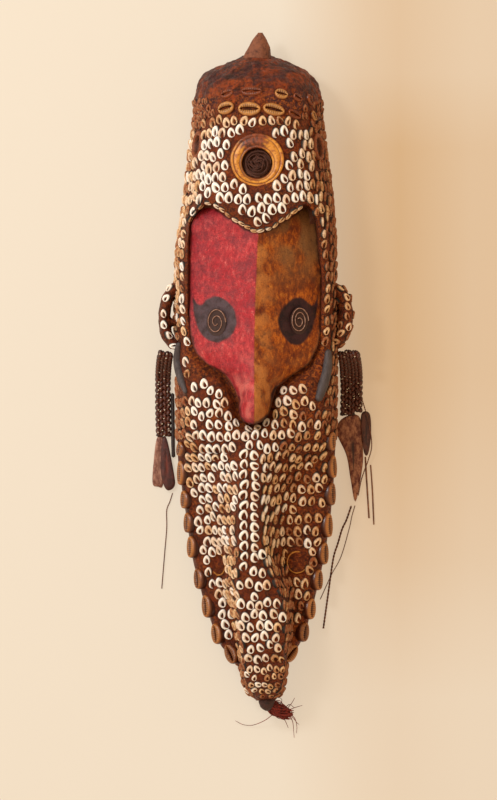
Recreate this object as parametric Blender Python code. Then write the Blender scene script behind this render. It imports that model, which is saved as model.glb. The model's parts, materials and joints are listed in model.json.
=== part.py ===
"""Carved mask from the Middle Sepik, laid on its back: wood, a shell-set paste covering, cowries, coils, braids.

The front faces up (+Z), the crown points along +Y, and the back rim lies flat at z = 0. Tables are in millimetres.
"""

import math

import bmesh
import bpy
import numpy as np
from mathutils import Matrix, Vector

MM = 0.001
GAP = 0.3 * MM  # between two pieces that sit on each other
PASTE = 6.0  # thickness of the paste on the wood, mm
WALL = 11.0  # thickness of the wood at the rim, mm
PASTE_FOOT = 3.0  # the paste stops this far above the back rim, mm

# Outer form: Y, left edge, right edge, height of the front, squareness of the section.
BODY = [
    (294, -12, 14, 38, 2.4), (289.5, -22.5, 26.5, 55, 2.5), (281.5, -41, 44.5, 70, 2.6),
    (271, -52.5, 55.5, 85, 2.6), (257.5, -56.3, 60, 95, 2.6), (242, -56.3, 60.5, 98.5, 2.6),
    (225, -58.3, 62.3, 100.5, 2.6), (201, -61.5, 65, 102, 2.6), (179, -64, 68, 104, 2.6),
    (150, -67.5, 71, 104, 3.0), (120, -71.8, 72.7, 96, 4.0), (91, -73.5, 73, 91, 4.4),
    (59, -74, 73.7, 89.5, 4.4), (32, -74, 73.7, 87.5, 4.2), (-5, -73, 73.7, 87.5, 4.0),
    (-28, -72.5, 73.7, 89, 3.8), (-46.5, -72.5, 73.5, 86.5, 3.6), (-65, -72.5, 73.5, 74, 3.8),
    (-80.5, -72, 73, 59, 4.2), (-101, -69, 71.8, 49, 4.6), (-123, -65.8, 69.8, 42.5, 5),
    (-145, -62.6, 67.2, 38, 5), (-167, -59.4, 63.8, 34, 5), (-189, -54, 59, 31.3, 5),
    (-211.5, -47.5, 53.5, 28.6, 5), (-226, -42.5, 49.5, 26.7, 5), (-241, -37.5, 45, 25.8, 5),
    (-254, -30.5, 38, 25, 5), (-265, -20.5, 31, 24, 4.5), (-272, -15, 28.6, 24, 4.2),
    (-285, -12, 27.5, 23, 4), (-295, -7.4, 24, 22, 3.5), (-301.5, 0, 18, 20, 3),
]
# Central ridge and snout: Y, centre, half width of the crest, half width of the foot, height, hollowness.
RIDGE = [
    (-42, -5.5, 13, 72, 0, 1.2), (-51, -6.4, 11, 69, 6.5, 1.2), (-65, -6.4, 9.2, 62.5, 20, 1.3),
    (-80.5, -6.4, 8.7, 55.5, 34, 1.4), (-101, -7, 8.7, 48, 42.5, 1.5), (-123, -7, 9.2, 41.5, 46, 1.6),
    (-145, -6.4, 10, 37, 47, 1.6), (-167, -5, 11.5, 33, 46, 1.6), (-185, -1.4, 15.7, 34, 46, 1.5),
    (-198.5, 2.3, 18.4, 32, 46, 1.3), (-211.5, 4.6, 19.3, 29.5, 46, 1.1), (-226, 6, 19.8, 26.7, 45, 1),
    (-244.5, 7, 19.3, 25, 42.5, 1), (-255.5, 7.2, 18.4, 23, 38.7, 1), (-263, 7.4, 18, 22.6, 33, 1),
    (-270, 7.4, 18, 22, 35, 1), (-281.5, 7.4, 16.6, 20.3, 33, 1), (-290.5, 8.3, 13, 16.6, 26, 1),
    (-298, 8.7, 8.3, 12, 16.5, 1), (-301.5, 8.7, 4.6, 8.3, 9, 1),
]
# Underside of the overhanging snout: Y, height above the back rim.
SNOUT_LIFT = [(-262, 0), (-272, 5), (-284, 10), (-294, 16), (-301.5, 19.5)]
# Hollow of the back: Y, height of its vault.
HOLLOW = [
    (262, 25), (245, 55), (210, 72), (170, 72), (130, 60), (80, 55), (20, 54), (-30, 55), (-60, 50),
    (-85, 36), (-120, 28), (-170, 22), (-220, 15), (-245, 8),
]
# Painted face: Y, left edge, right edge, ridge line, height of the ridge, height of the edge, roundness.
FACE = [
    (155, -46, 47, 2.3, 90, 64.5, 1.2), (150, -52.5, 50, 2.2, 92, 65.5, 1.2), (142, -59, 54.5, 2, 93.5, 66, 1.2),
    (128.5, -60.8, 56.6, 1.9, 95, 67, 1.2), (115, -61.7, 57.6, 1.2, 96, 68, 1.2),
    (92, -62, 60, 0.2, 97, 69, 1.2), (69, -62, 60, -0.9, 98.5, 70, 1.2), (52, -61.7, 59.4, -1.2, 100, 72, 1.2),
    (31, -59, 58, -1.6, 102, 73.5, 1.2), (19, -54.3, 53.4, -1.7, 103.5, 75.5, 1.25),
    (8.7, -43.3, 47, -1.8, 105, 78, 1.3), (0.5, -29.5, 35, -1.8, 107, 81, 1.4),
    (-12.4, -20.3, 19, -1.8, 109.5, 84.5, 1.7), (-25.3, -15.7, 14.7, -1.8, 112.5, 86.5, 2),
    (-34.5, -13, 12.4, -1.8, 113, 87, 2.2), (-40, -10, 9.2, -1.8, 110.5, 87, 2.4),
    (-44.7, -5, 2.3, -1.8, 103, 88, 2.5),
]
# Edge of the face as it shows, from the top left corner down round the nose and back along the forehead lobe.
FACE_EDGE = [
    (-46, 156), (-59, 142.3), (-61, 128.5), (-61.8, 114.7), (-62, 68.6), (-61.7, 52), (-59, 31), (-54.3, 19),
    (-43.3, 8.7), (-29.5, 0.5), (-20.3, -12.4), (-15.7, -25.3), (-13, -34.5), (-10.1, -40), (-1.8, -46),
    (6.4, -41), (12.4, -34.5), (14.7, -25.3), (14.8, -19), (19, -12.4), (31.3, -2.3), (47, 8.7), (53.4, 19),
    (58, 31), (60, 63), (60, 94.4), (57.6, 114.7), (56.6, 128.5), (54.3, 142.3), (47, 155.2), (39.2, 150),
    (27.6, 142.3), (14.7, 134), (1.4, 130.8), (-10, 134), (-20.3, 140.5), (-33.2, 150),
]
GROOVE_DEPTH = 11.5
GROOVE_WIDTH = 6.5

# Cowries lying flat along the brow: x, Y, turn in degrees, length, width.
BROW_COWRIES = [
    (-26.5, 257.5, 5, 13, 9), (-4.6, 259.5, 0, 20, 10), (22.5, 257, -8, 13, 11), (37.5, 254.5, -12, 11, 8),
    (49, 253, -30, 12, 8), (-27.2, 244.5, 8, 17.5, 13), (-6.6, 243.5, -2, 21.5, 14), (15.5, 243, -12, 21, 12.5),
    (34.5, 239, -14, 15, 8.5), (51.5, 238.5, -20, 11, 8),
]
# Cowries along the edge: Y of each, tilt outward in degrees, length, width.
EDGE_LEFT = [
    (-69, 66, 14), (-91.5, 66, 23.5), (-116, 64, 17.5), (-137.5, 62, 19.5), (-160, 60, 21), (-189.5, 56, 20),
    (-215, 54, 22), (-240.5, 50, 20), (-259, 36, 20),
]
EDGE_RIGHT = [
    (-62, 66, 18), (-85.5, 64, 22.5), (-111, 62, 22), (-140, 60, 23), (-166, 58, 21.5), (-190.5, 56, 20),
    (-217.5, 52, 20), (-239, 50, 18.5), (-258.5, 36, 19.5),
]
COWRIE_WIDTH = 14.5


def curve(table, y):
    """Every column of a table at y, smoothly between its rows."""
    rows = np.array(sorted(table), float)
    keys, values = rows[:, 0], rows[:, 1:]
    y = np.clip(y, keys[0], keys[-1])
    slopes = np.gradient(values, keys, axis=0)
    i = int(np.clip(np.searchsorted(keys, y) - 1, 0, len(keys) - 2))
    step = keys[i + 1] - keys[i]
    t = (y - keys[i]) / step
    return (
        (2 * t**3 - 3 * t**2 + 1) * values[i]
        + (t**3 - 2 * t**2 + t) * step * slopes[i]
        + (3 * t**2 - 2 * t**3) * values[i + 1]
        + (t**3 - t**2) * step * slopes[i + 1]
    )


def distance_to_face(x, y):
    """Distance from points to the edge of the face."""
    edge = np.array(FACE_EDGE, float)
    a, b = edge, np.roll(edge, -1, axis=0)
    p = np.stack([x, np.full_like(x, y)], axis=-1)[:, None]
    t = np.clip(((p - a) * (b - a)).sum(-1) / ((b - a) ** 2).sum(-1), 0, 1)
    return np.linalg.norm(p - a - t[..., None] * (b - a), axis=-1).min(axis=1)


def spread_over(centre, half, mid, crest, foot, across):
    """Places across the body, close together at its edges, with one at the crest and one at the foot of the ridge."""
    sixth = (across - 1) // 6
    rows = []
    for side in (-1, 1):
        reach = side * (centre - mid) + half
        low = min(foot, 0.85 * reach)
        high = min(crest, 0.4 * low)
        top = np.linspace(0, high, sixth, endpoint=False)
        flank = np.linspace(high, low, sixth, endpoint=False)
        edge = low + (reach - low) * np.sin(np.linspace(0, math.pi / 2, across // 2 + 1 - 2 * sixth))
        rows.append(mid + side * np.concatenate([top, flank, edge]))
    return np.concatenate([rows[0][::-1], rows[1][1:]])


def face_height(x, y):
    """Height of the painted face at x, y."""
    left, right, line, top, edge, roundness = curve(FACE, y)
    reach = np.where(x < line, line - left, right - line)
    return top - (top - edge) * np.clip(np.abs(x - line) / reach, 0, 1) ** roundness


def section(y, across, inset=0.0):
    """x and z of the front across the body at y, drawn in by inset; the wood inside also keeps under the face."""
    left, right, height, square = curve(BODY, y)
    mid, crest, foot, ridge, hollow = curve(RIDGE, y)
    centre, half = (left + right) / 2, (right - left) / 2 - inset
    crest, foot = max(crest - 0.5 * inset, 2), max(foot - 0.7 * inset, 4)
    x = spread_over(centre, half, np.clip((-20 - y) / 30, 0, 1) * (mid - centre) + centre, crest, foot, across)
    side = np.clip(np.abs(x - centre) / half, 0, 1)
    z = (height - inset) * (1 - side**square) ** (1 / square)
    if y < -42:
        slope = np.clip((np.abs(x - mid) - crest) / (foot - crest), 0, 1)
        z = z + ridge * (1 - slope) ** hollow * np.clip(z / 12, 0, 1)
    if inset > 0 and -46 < y < 162:
        face = curve(FACE, y)
        z = np.where((x > face[0] - 5) & (x < face[1] + 5), np.minimum(z, face_height(x, y) - 0.8), z)
    groove = np.clip((45 - y) / 25, 0, 1) * np.clip((y + 62) / 12, 0, 1)
    if groove > 0:
        z = z - groove * GROOVE_DEPTH * np.exp(-((distance_to_face(x, y) / GROOVE_WIDTH) ** 2)) * (z > 30)
    return x, z


def front_grid(rows, across, inset=0.0, foot=0.0):
    """Grid of points over the front, one section for each Y, in metres."""
    grid = []
    for y in rows:
        x, z = section(y, across, inset)
        low = max(foot, float(curve(SNOUT_LIFT, y)[0]) + (inset * 0.5 if y < -262 else 0))
        grid.append(np.stack([x, np.full_like(x, y), low + z * (1 - low / z.max())], axis=-1))
    return np.array(grid) * MM


def grown(grid, by):
    """The grid moved out along its normals, with its ends moved along Y."""
    down, over = np.gradient(grid, axis=0), np.gradient(grid, axis=1)
    normal = np.cross(down, over)
    normal /= np.maximum(np.linalg.norm(normal, axis=2, keepdims=True), 1e-12)
    normal *= np.sign(normal[:, grid.shape[1] // 2, 2]).mean()
    out = grid + normal * by
    out[0, :, 1] = grid[0, :, 1] + abs(by)
    out[-1, :, 1] = grid[-1, :, 1] - abs(by)
    return out


def collection(name, shown=True):
    made = bpy.data.collections.new(name)
    bpy.context.scene.collection.children.link(made)
    made.hide_render = not shown
    return made


def material(name, colour, roughness=0.8):
    made = bpy.data.materials.new(name)
    made.use_nodes = True
    shader = made.node_tree.nodes["Principled BSDF"]
    shader.inputs["Base Color"].default_value = (*colour, 1)
    shader.inputs["Roughness"].default_value = roughness
    return made


def mesh_object(name, verts, faces, where, mat=None):
    """A closed mesh object whose faces look outward."""
    mesh = bpy.data.meshes.new(name)
    mesh.from_pydata([tuple(map(float, v)) for v in verts], [], faces)
    bm = bmesh.new()
    bm.from_mesh(mesh)
    bmesh.ops.remove_doubles(bm, verts=bm.verts, dist=1e-5)
    bmesh.ops.dissolve_degenerate(bm, edges=bm.edges, dist=1e-6)
    bmesh.ops.triangulate(bm, faces=bm.faces)
    bmesh.ops.recalc_face_normals(bm, faces=bm.faces)
    bm.to_mesh(mesh)
    bm.free()
    obj = bpy.data.objects.new(name, mesh)
    where.objects.link(obj)
    if mat:
        mesh.materials.append(mat)
    else:
        obj.display_type = "WIRE"
    return obj


def rings_object(name, rings, where, mat=None):
    """A solid from closed rings with the same number of points, and flat ends."""
    n = len(rings[0])
    verts = [p for ring in rings for p in ring]
    faces = [
        (i * n + j, i * n + (j + 1) % n, (i + 1) * n + (j + 1) % n, (i + 1) * n + j)
        for i in range(len(rings) - 1)
        for j in range(n)
    ]
    faces += [tuple(range(n)), tuple(range((len(rings) - 1) * n, len(rings) * n))]
    return mesh_object(name, verts, faces, where, mat)


def sweep(name, path, widths, depths, where, mat=None, sides=8, up=(0, 0, 1)):
    """A solid along a path of (x, y, z) in mm, with elliptic sections of half widths and half depths."""
    points = [Vector(p) * MM for p in path]
    rings = []
    for i, p in enumerate(points):
        along = (points[min(i + 1, len(points) - 1)] - points[max(i - 1, 0)]).normalized()
        side = along.cross(Vector(up)).normalized()
        rise = side.cross(along).normalized()
        rings.append([
            p + (side * math.cos(a) * widths[i] + rise * math.sin(a) * depths[i]) * MM
            for a in (2 * math.pi * k / sides for k in range(sides))
        ])
    return rings_object(name, rings, where, mat)


def boolean(obj, cutter, operation="DIFFERENCE"):
    """Applies one exact Boolean to a mesh object."""
    step = obj.modifiers.new("step", "BOOLEAN")
    step.operation = operation
    step.solver = "EXACT"
    step.object = cutter
    graph = bpy.context.evaluated_depsgraph_get()
    mesh = bpy.data.meshes.new_from_object(obj.evaluated_get(graph))
    obj.modifiers.remove(step)
    old = obj.data
    name = old.name
    obj.data = mesh
    bpy.data.meshes.remove(old)
    mesh.name = name
    return obj


def tidy(obj, smallest=0.004):
    """Merges points nearer than smallest mm and drops loose scraps."""
    bm = bmesh.new()
    bm.from_mesh(obj.data)
    bmesh.ops.remove_doubles(bm, verts=bm.verts, dist=smallest * MM)
    bmesh.ops.dissolve_degenerate(bm, edges=bm.edges, dist=smallest * MM)
    bmesh.ops.triangulate(bm, faces=bm.faces)
    shells, seen = [], set()
    for vert in bm.verts:
        if vert in seen:
            continue
        group, todo = [], [vert]
        seen.add(vert)
        while todo:
            v = todo.pop()
            group.append(v)
            for edge in v.link_edges:
                other = edge.other_vert(v)
                if other not in seen:
                    seen.add(other)
                    todo.append(other)
        shells.append(group)
    largest = max(shells, key=len)
    scraps = [v for group in shells if group is not largest for v in group]
    bmesh.ops.delete(bm, geom=scraps, context="VERTS")
    bm.to_mesh(obj.data)
    bm.free()
    return obj


def grid_solid(name, grid, where, mat=None):
    """A solid under a front grid: each section is closed straight along its back."""
    return rings_object(name, [list(row) for row in grid], where, mat)


def prism(name, outline, low, high, by, where):
    """An upright prism on an outline in mm, grown sideways by so many mm."""
    points = np.array(outline, float)
    before, after = np.roll(points, 1, axis=0), np.roll(points, -1, axis=0)
    tangent = after - before
    normal = np.stack([-tangent[:, 1], tangent[:, 0]], axis=1)
    normal /= np.linalg.norm(normal, axis=1, keepdims=True)
    area = (points[:, 0] * after[:, 1] - after[:, 0] * points[:, 1]).sum()
    points = points - normal * by * np.sign(area)
    rings = [[(x * MM, y * MM, z * MM) for x, y in points] for z in (low, high)]
    return rings_object(name, rings, where)


def face_block(name, by, where):
    """The painted face from its front down into the wood."""
    rings = []
    for i, (y, left, right, line, top, edge, round_) in enumerate(FACE):
        end = by if i == 0 else -by if i == len(FACE) - 1 else 0
        s = np.linspace(-1, 1, 11)
        x = np.where(s < 0, line + (line - left + by) * s, line + (right + by - line) * s)
        z = top - (top - edge) * np.abs(s) ** round_ + by
        ring = [(a * MM, (y + end) * MM, b * MM) for a, b in zip(x, z, strict=True)]
        floor = 45 - by
        ring += [(x[-1] * MM, (y + end) * MM, floor * MM), (x[0] * MM, (y + end) * MM, floor * MM)]
        rings.append(ring)
    return rings_object(name, rings, where)


def finial(name, by, where):
    """The wooden stub that comes out of the crown."""
    shape = [(268, 1.4, 14, 14), (284, 1.4, 14, 14), (290.5, 1, 13.7, 12.5), (296, 1.6, 12, 11.5), (303, 3, 9.5, 9.5), (309, 3.3, 6.5, 6.5), (313, 3.8, 4, 4), (316, 4.1, 1.5, 1.6)]
    rings = []
    for i, (y, x, wide, deep) in enumerate(shape):
        end = -by if i == 0 else by if i == len(shape) - 1 else 0
        rings.append([
            ((x + (wide + by) * math.cos(a)) * MM, (y + end) * MM, (34 + (deep + by) * math.sin(a)) * MM)
            for a in (2 * math.pi * k / 12 for k in range(12))
        ])
    return rings_object(name, rings, where)


def ear(name, side, by, where, helpers, mat=None):
    """A looped ear that stands out from the side, with a bar across its middle, grown by so many mm."""
    if side < 0:
        path = [(-66, 82), (-75.5, 79.5), (-81.5, 71), (-84.4, 59), (-84.4, 46), (-82.6, 36.5), (-76.5, 28.7), (-66, 26.7)]
        bar, wide = [(-86, 48), (-66, 48)], 5.7
    else:
        path = [(67, 79), (75.5, 76), (80.5, 69), (82.3, 58), (82, 46), (79, 37), (73.5, 30.5), (66, 28.7)]
        bar, wide = [(86, 50), (66, 50)], 7.6
    loop = sweep(name, [(x, y, 44) for x, y in path], [wide + by] * 8, [12 + by] * 8, where, mat)
    cross = sweep(name + "_bar", [(x, y, 44) for x, y in bar], [3.4 + by] * 2, [9 + by] * 2, helpers)
    return boolean(loop, cross, "UNION")


def surface_at(x, y):
    """The point of the outer front at x, y and its normal, in mm."""
    def height(a, b):
        sx, sz = section(b, 161)
        return float(np.interp(a, sx, sz))
    step = 2.0
    slope_x = (height(x + step, y) - height(x - step, y)) / (2 * step)
    slope_y = (height(x, y + step) - height(x, y - step)) / (2 * step)
    return Vector((x, y, height(x, y))), Vector((-slope_x, -slope_y, 1)).normalized()


def edge_at(y, side, tilt):
    """The point near the edge at y where the front leans outward by tilt degrees, its normal and its run."""
    x, z = section(y, 241)
    lean = np.degrees(np.arctan2(-np.gradient(z) * side, np.gradient(x) * side * side))
    outer = (x - x[0] < 9) if side < 0 else (x[-1] - x < 9)
    i = int(np.abs(np.where(outer, lean - tilt, 999)).argmin())
    above, below = section(y + 6, 241), section(y - 6, 241)
    run = Vector((above[0][-1 if side > 0 else 0] - below[0][-1 if side > 0 else 0], 12, above[1][i] - below[1][i]))
    normal = Vector((side * math.sin(math.radians(tilt)), 0, math.cos(math.radians(tilt))))
    return Vector((x[i], y, z[i])), normal, run.normalized()


def frame_of(place, normal, along):
    """A placing matrix: x along, z along the normal, in metres."""
    across = normal.cross(along).normalized()
    along = across.cross(normal).normalized()
    turn = Matrix((along, across, normal)).transposed().to_4x4()
    return Matrix.Translation(place * MM) @ turn


def cowrie(name, length, width, place, where, mat, high=5.0):
    """A cowrie lying on its back with the toothed slit up."""
    def ring(a, b, z, n=10):
        return [
            Vector((a * math.cos(t) * (1 + 0.06 * math.cos(t)), b * math.sin(t), z)) * MM
            for t in (2 * math.pi * k / n for k in range(n))
        ]
    half, wide = length / 2, width / 2
    rings = [
        ring(half * 0.96, wide * 0.96, -4.5), ring(half, wide, 1.2), ring(half * 0.8, wide * 0.5, high),
        ring(half * 0.7, wide * 0.12, high * 0.5),
    ]
    return rings_object(name, [[place @ p for p in r] for r in rings], where, mat)


def annulus(name, inner, outer, low, high, place, where, mat=None, sides=28):
    """A flat ring, or a plain disc when inner is 0."""
    def circle(radius, z):
        return [place @ (Vector((radius * math.cos(t), radius * math.sin(t), z)) * MM) for t in (2 * math.pi * k / sides for k in range(sides))]
    if inner == 0:
        return rings_object(name, [circle(outer, low), circle(outer, high)], where, mat)
    loops = [circle(inner, low), circle(outer, low), circle(outer, high), circle(inner, high)]
    n = sides
    faces = [
        (i * n + j, i * n + (j + 1) % n, ((i + 1) % 4) * n + (j + 1) % n, ((i + 1) % 4) * n + j)
        for i in range(4) for j in range(n)
    ]
    return mesh_object(name, [p for loop in loops for p in loop], faces, where, mat)


def coil(name, turns, outer, inner, thick, low, high, place, where, mat, stretch=1.0, per_turn=14):
    """A strip coiled on edge, as a spiral wall."""
    steps = int(turns * per_turn)
    rings = []
    for k in range(steps + 1):
        t = k / steps
        angle = 2 * math.pi * turns * t
        radius = outer + (inner - outer) * t
        direction = Vector((math.cos(angle), stretch * math.sin(angle), 0))
        a, b = direction * (radius - thick / 2), direction * (radius + thick / 2)
        dip = (high - low) * 0.25 * t
        rings.append([
            place @ (Vector((a.x, a.y, low)) * MM), place @ (Vector((b.x, b.y, low)) * MM),
            place @ (Vector((b.x, b.y, high - dip)) * MM), place @ (Vector((a.x, a.y, high - dip)) * MM),
        ])
    return rings_object(name, rings, where, mat)


def pod(name, outline, low, high, where, mat):
    """A flat dry pod, thinner at its rim, on an outline of (x, y) in mm."""
    points = np.array(outline, float)
    centre = points.mean(axis=0)
    rings = []
    for z, shrink in ((low, 0.9), ((low + high) / 2, 1.0), (high, 0.72)):
        rings.append([((centre[0] + (x - centre[0]) * shrink) * MM, (centre[1] + (y - centre[1]) * (1 - (1 - shrink) * 0.5)) * MM, z * MM) for x, y in points])
    return rings_object(name, rings, where, mat)


def tube(name, path, diameter, where, mat):
    """A cord as a curve with filled ends."""
    data = bpy.data.curves.new(name, "CURVE")
    data.dimensions = "3D"
    data.bevel_depth = diameter / 2 * MM
    data.bevel_resolution = 2
    data.use_fill_caps = True
    line = data.splines.new("POLY")
    line.points.add(len(path) - 1)
    for point, (x, y, z) in zip(line.points, path, strict=True):
        point.co = (x * MM, y * MM, z * MM, 1)
    obj = bpy.data.objects.new(name, data)
    data.materials.append(mat)
    where.objects.link(obj)
    return obj


def main():
    for obj in list(bpy.data.objects):
        bpy.data.objects.remove(obj, do_unlink=True)
    parts = collection("sepik_mask")
    helpers = collection("cutters", shown=False)

    wood = material("carved_wood", (0.30, 0.11, 0.05))
    paste = material("dark_paste", (0.07, 0.035, 0.02), 0.9)
    cone_shell = material("cone_shell", (0.62, 0.36, 0.10), 0.4)
    coil_strip = material("coil_strip", (0.09, 0.05, 0.035), 0.7)
    eye_strip = material("eye_strip", (0.45, 0.28, 0.18), 0.6)
    tusk_grey = material("tusk_grey", (0.05, 0.045, 0.045), 0.6)
    cowrie_shell = material("cowrie_shell", (0.55, 0.30, 0.11), 0.35)
    fibre = material("fibre", (0.05, 0.03, 0.02), 0.9)
    red_fibre = material("red_fibre", (0.25, 0.05, 0.03), 0.9)
    pod_skin = material("pod_skin", (0.22, 0.11, 0.06), 0.7)

    rows = sorted([r[0] for r in BODY] + [45, 20, 8, -16, -37], reverse=True)
    inner_rows = [286.4, 278, 268, 256, 240, 218, 196, 172, 150, 130, 108, 85, 59, 40, 24, 10, -2, -14, -24, -34, -43, -52, -66, -82,
                  -104, -130, -158, -182, -204, -226, -246, -259, -266, -276, -287, -294.5]
    outer_grid = front_grid(rows, 25, foot=PASTE_FOOT)
    core_grid = front_grid(inner_rows, 25, inset=PASTE)
    outer_grown = grid_solid("outer_grown", grown(outer_grid, GAP), helpers)
    core_grown = grid_solid("core_grown", grown(core_grid, GAP), helpers)

    hollow_rows = [262, 250, 232, 200, 165, 130, 90, 40, -10, -45, -70, -95, -130, -175, -215, -240, -247]
    hollow_grid = []
    for y in hollow_rows:
        left, right = curve(BODY, y)[:2]
        half = (right - left) / 2 - PASTE - WALL
        t = np.linspace(0, math.pi, 17)
        top = float(curve(HOLLOW, y)[0])
        x = (left + right) / 2 - half * np.sign(np.cos(t)) * np.abs(np.cos(t)) ** 0.7
        z = -5 + (top + 5) * np.sin(t) ** 0.7
        hollow_grid.append(np.stack([x, np.full_like(x, y), z], axis=-1) * MM)
    hollow = rings_object("hollow", [list(r) for r in hollow_grid], helpers)

    mask = grid_solid("wooden_mask", core_grid, parts, wood)
    boolean(mask, face_block("face_front", 0, helpers), "UNION")
    boolean(mask, finial("finial", 0, helpers), "UNION")
    boolean(mask, hollow)
    tidy(mask)

    cover = grid_solid("paste_covering", outer_grid, parts, paste)
    ears_grown = []
    for side, name in ((-1, "ear_left"), (1, "ear_right")):
        tidy(boolean(ear(name, side, 0, parts, helpers, paste), outer_grown))
        ears_grown.append(ear(name + "_grown", side, GAP / MM, helpers, helpers))
    boolean(cover, core_grown)
    boolean(cover, face_block("face_room", GAP / MM, helpers))
    boolean(cover, prism("face_window", FACE_EDGE, 60, 130, GAP / MM, helpers))
    boolean(cover, finial("finial_room", GAP / MM, helpers))

    disc_place, _ = surface_at(1, 196.6)
    disc = frame_of(disc_place + Vector((0, 0, 0.6)), Vector((0, 0, 1)), Vector((1, 0, 0)))
    boolean(cover, annulus("disc_room", 0, 24.8, -4.3, 20, disc, helpers))
    annulus("forehead_shell_disc", 13, 24.5, -4, 0, disc, parts, cone_shell, 36)
    coil("forehead_coil", 3.2, 11.4, 2.5, 1.1, -3.9, 0.8, disc, parts, coil_strip, per_turn=12)
    tidy(cover)

    for name, x, y in (("temple_ring_left", -53.4, 211.4), ("temple_ring_right", 57.1, 209.5)):
        place, normal = surface_at(x, y)
        ring = annulus(name, 8.5, 13, -5, 2.2, frame_of(place, normal, Vector((0, 1, 0))), parts, coil_strip, 20)
        boolean(ring, outer_grown)
        tidy(ring)
    for name, x, y, lean in (("snout_ring_left", -33.5, -175.5, 0.9), ("snout_ring_right", 37.8, -173.6, 0.35)):
        place, _ = surface_at(x, y)
        normal = Vector((math.copysign(math.sin(lean), x), 0, math.cos(lean)))
        ring = annulus(name, 8.2, 10.4, -6, 2.4, frame_of(place, normal, Vector((0, 1, 0))), parts, cone_shell, 20)
        boolean(ring, outer_grown)
        tidy(ring)

    face_grown = face_block("face_grown", GAP / MM, helpers)
    for name, x, y, wide, tall, turns in (("eye_coil_left", -36.5, 47.7, 8.6, 12.2, 2.6), ("eye_coil_right", 39.2, 49.3, 9.2, 12.6, 2.8)):
        near, here, far = (float(face_height(np.array([x + step]), y)[0]) for step in (-3, 0, 3))
        place = frame_of(Vector((x, y, here)), Vector(((near - far) / 6, 0, 1)).normalized(), Vector((1, 0, 0)))
        strip = coil(name, turns, wide, 2.0, 0.9, -3, 3.2, place, parts, eye_strip, stretch=tall / wide, per_turn=12)
        boolean(strip, face_grown)
        tidy(strip)

    tusks = {
        "tusk_left": ([(-71, 29), (-72, 20), (-72, 10), (-69, -3.5), (-64.5, -17)], [2.0, 3.2, 3.4, 3.0, 1.6]),
        "tusk_right": ([(66.5, 22.5), (65.7, 10), (63.8, -1.5), (60.5, -13), (57, -24)], [2.2, 3.6, 4.0, 3.8, 2.6]),
    }
    for name, (path, widths) in tusks.items():
        spots = [surface_at(x * 0.985, y)[0] for x, y in path]
        high = [p.z + 1.0 for p in spots]
        line = [(x, y, z) for (x, y), z in zip(path, high, strict=True)]
        tusk = sweep(name, line, widths, [w * 0.9 for w in widths], parts, tusk_grey)
        for cutter in (outer_grown, *ears_grown):
            boolean(tusk, cutter)
        tidy(tusk)

    for k, (x, y, turn, length, width) in enumerate(BROW_COWRIES, 1):
        place, normal = surface_at(x, y)
        along = Vector((math.cos(math.radians(turn)), math.sin(math.radians(turn)), 0))
        shell = cowrie(f"brow_cowrie_{k}", length, width, frame_of(place, normal, along), parts, cowrie_shell, 3.6)
        boolean(shell, outer_grown)
        tidy(shell)
    for side, table, word in ((-1, EDGE_LEFT, "left"), (1, EDGE_RIGHT, "right")):
        for k, (y, tilt, length) in enumerate(table, 1):
            place, normal, run = edge_at(y, side, tilt)
            shell = cowrie(f"edge_cowrie_{word}_{k}", length, COWRIE_WIDTH, frame_of(place, normal, run), parts, cowrie_shell)
            boolean(shell, outer_grown)
            tidy(shell)

    knob = [(9.5, -301.2, 27), (10.5, -306, 24), (14, -309.5, 19), (21, -312, 14), (29, -315.5, 11)]
    tuft = sweep("chin_tuft", knob, [5, 8, 6.5, 6, 4], [5, 7, 6, 5, 3.5], parts, red_fibre)
    boolean(tuft, outer_grown)
    tidy(tuft)

    lay_cords(parts, fibre, pod_skin)


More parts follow.
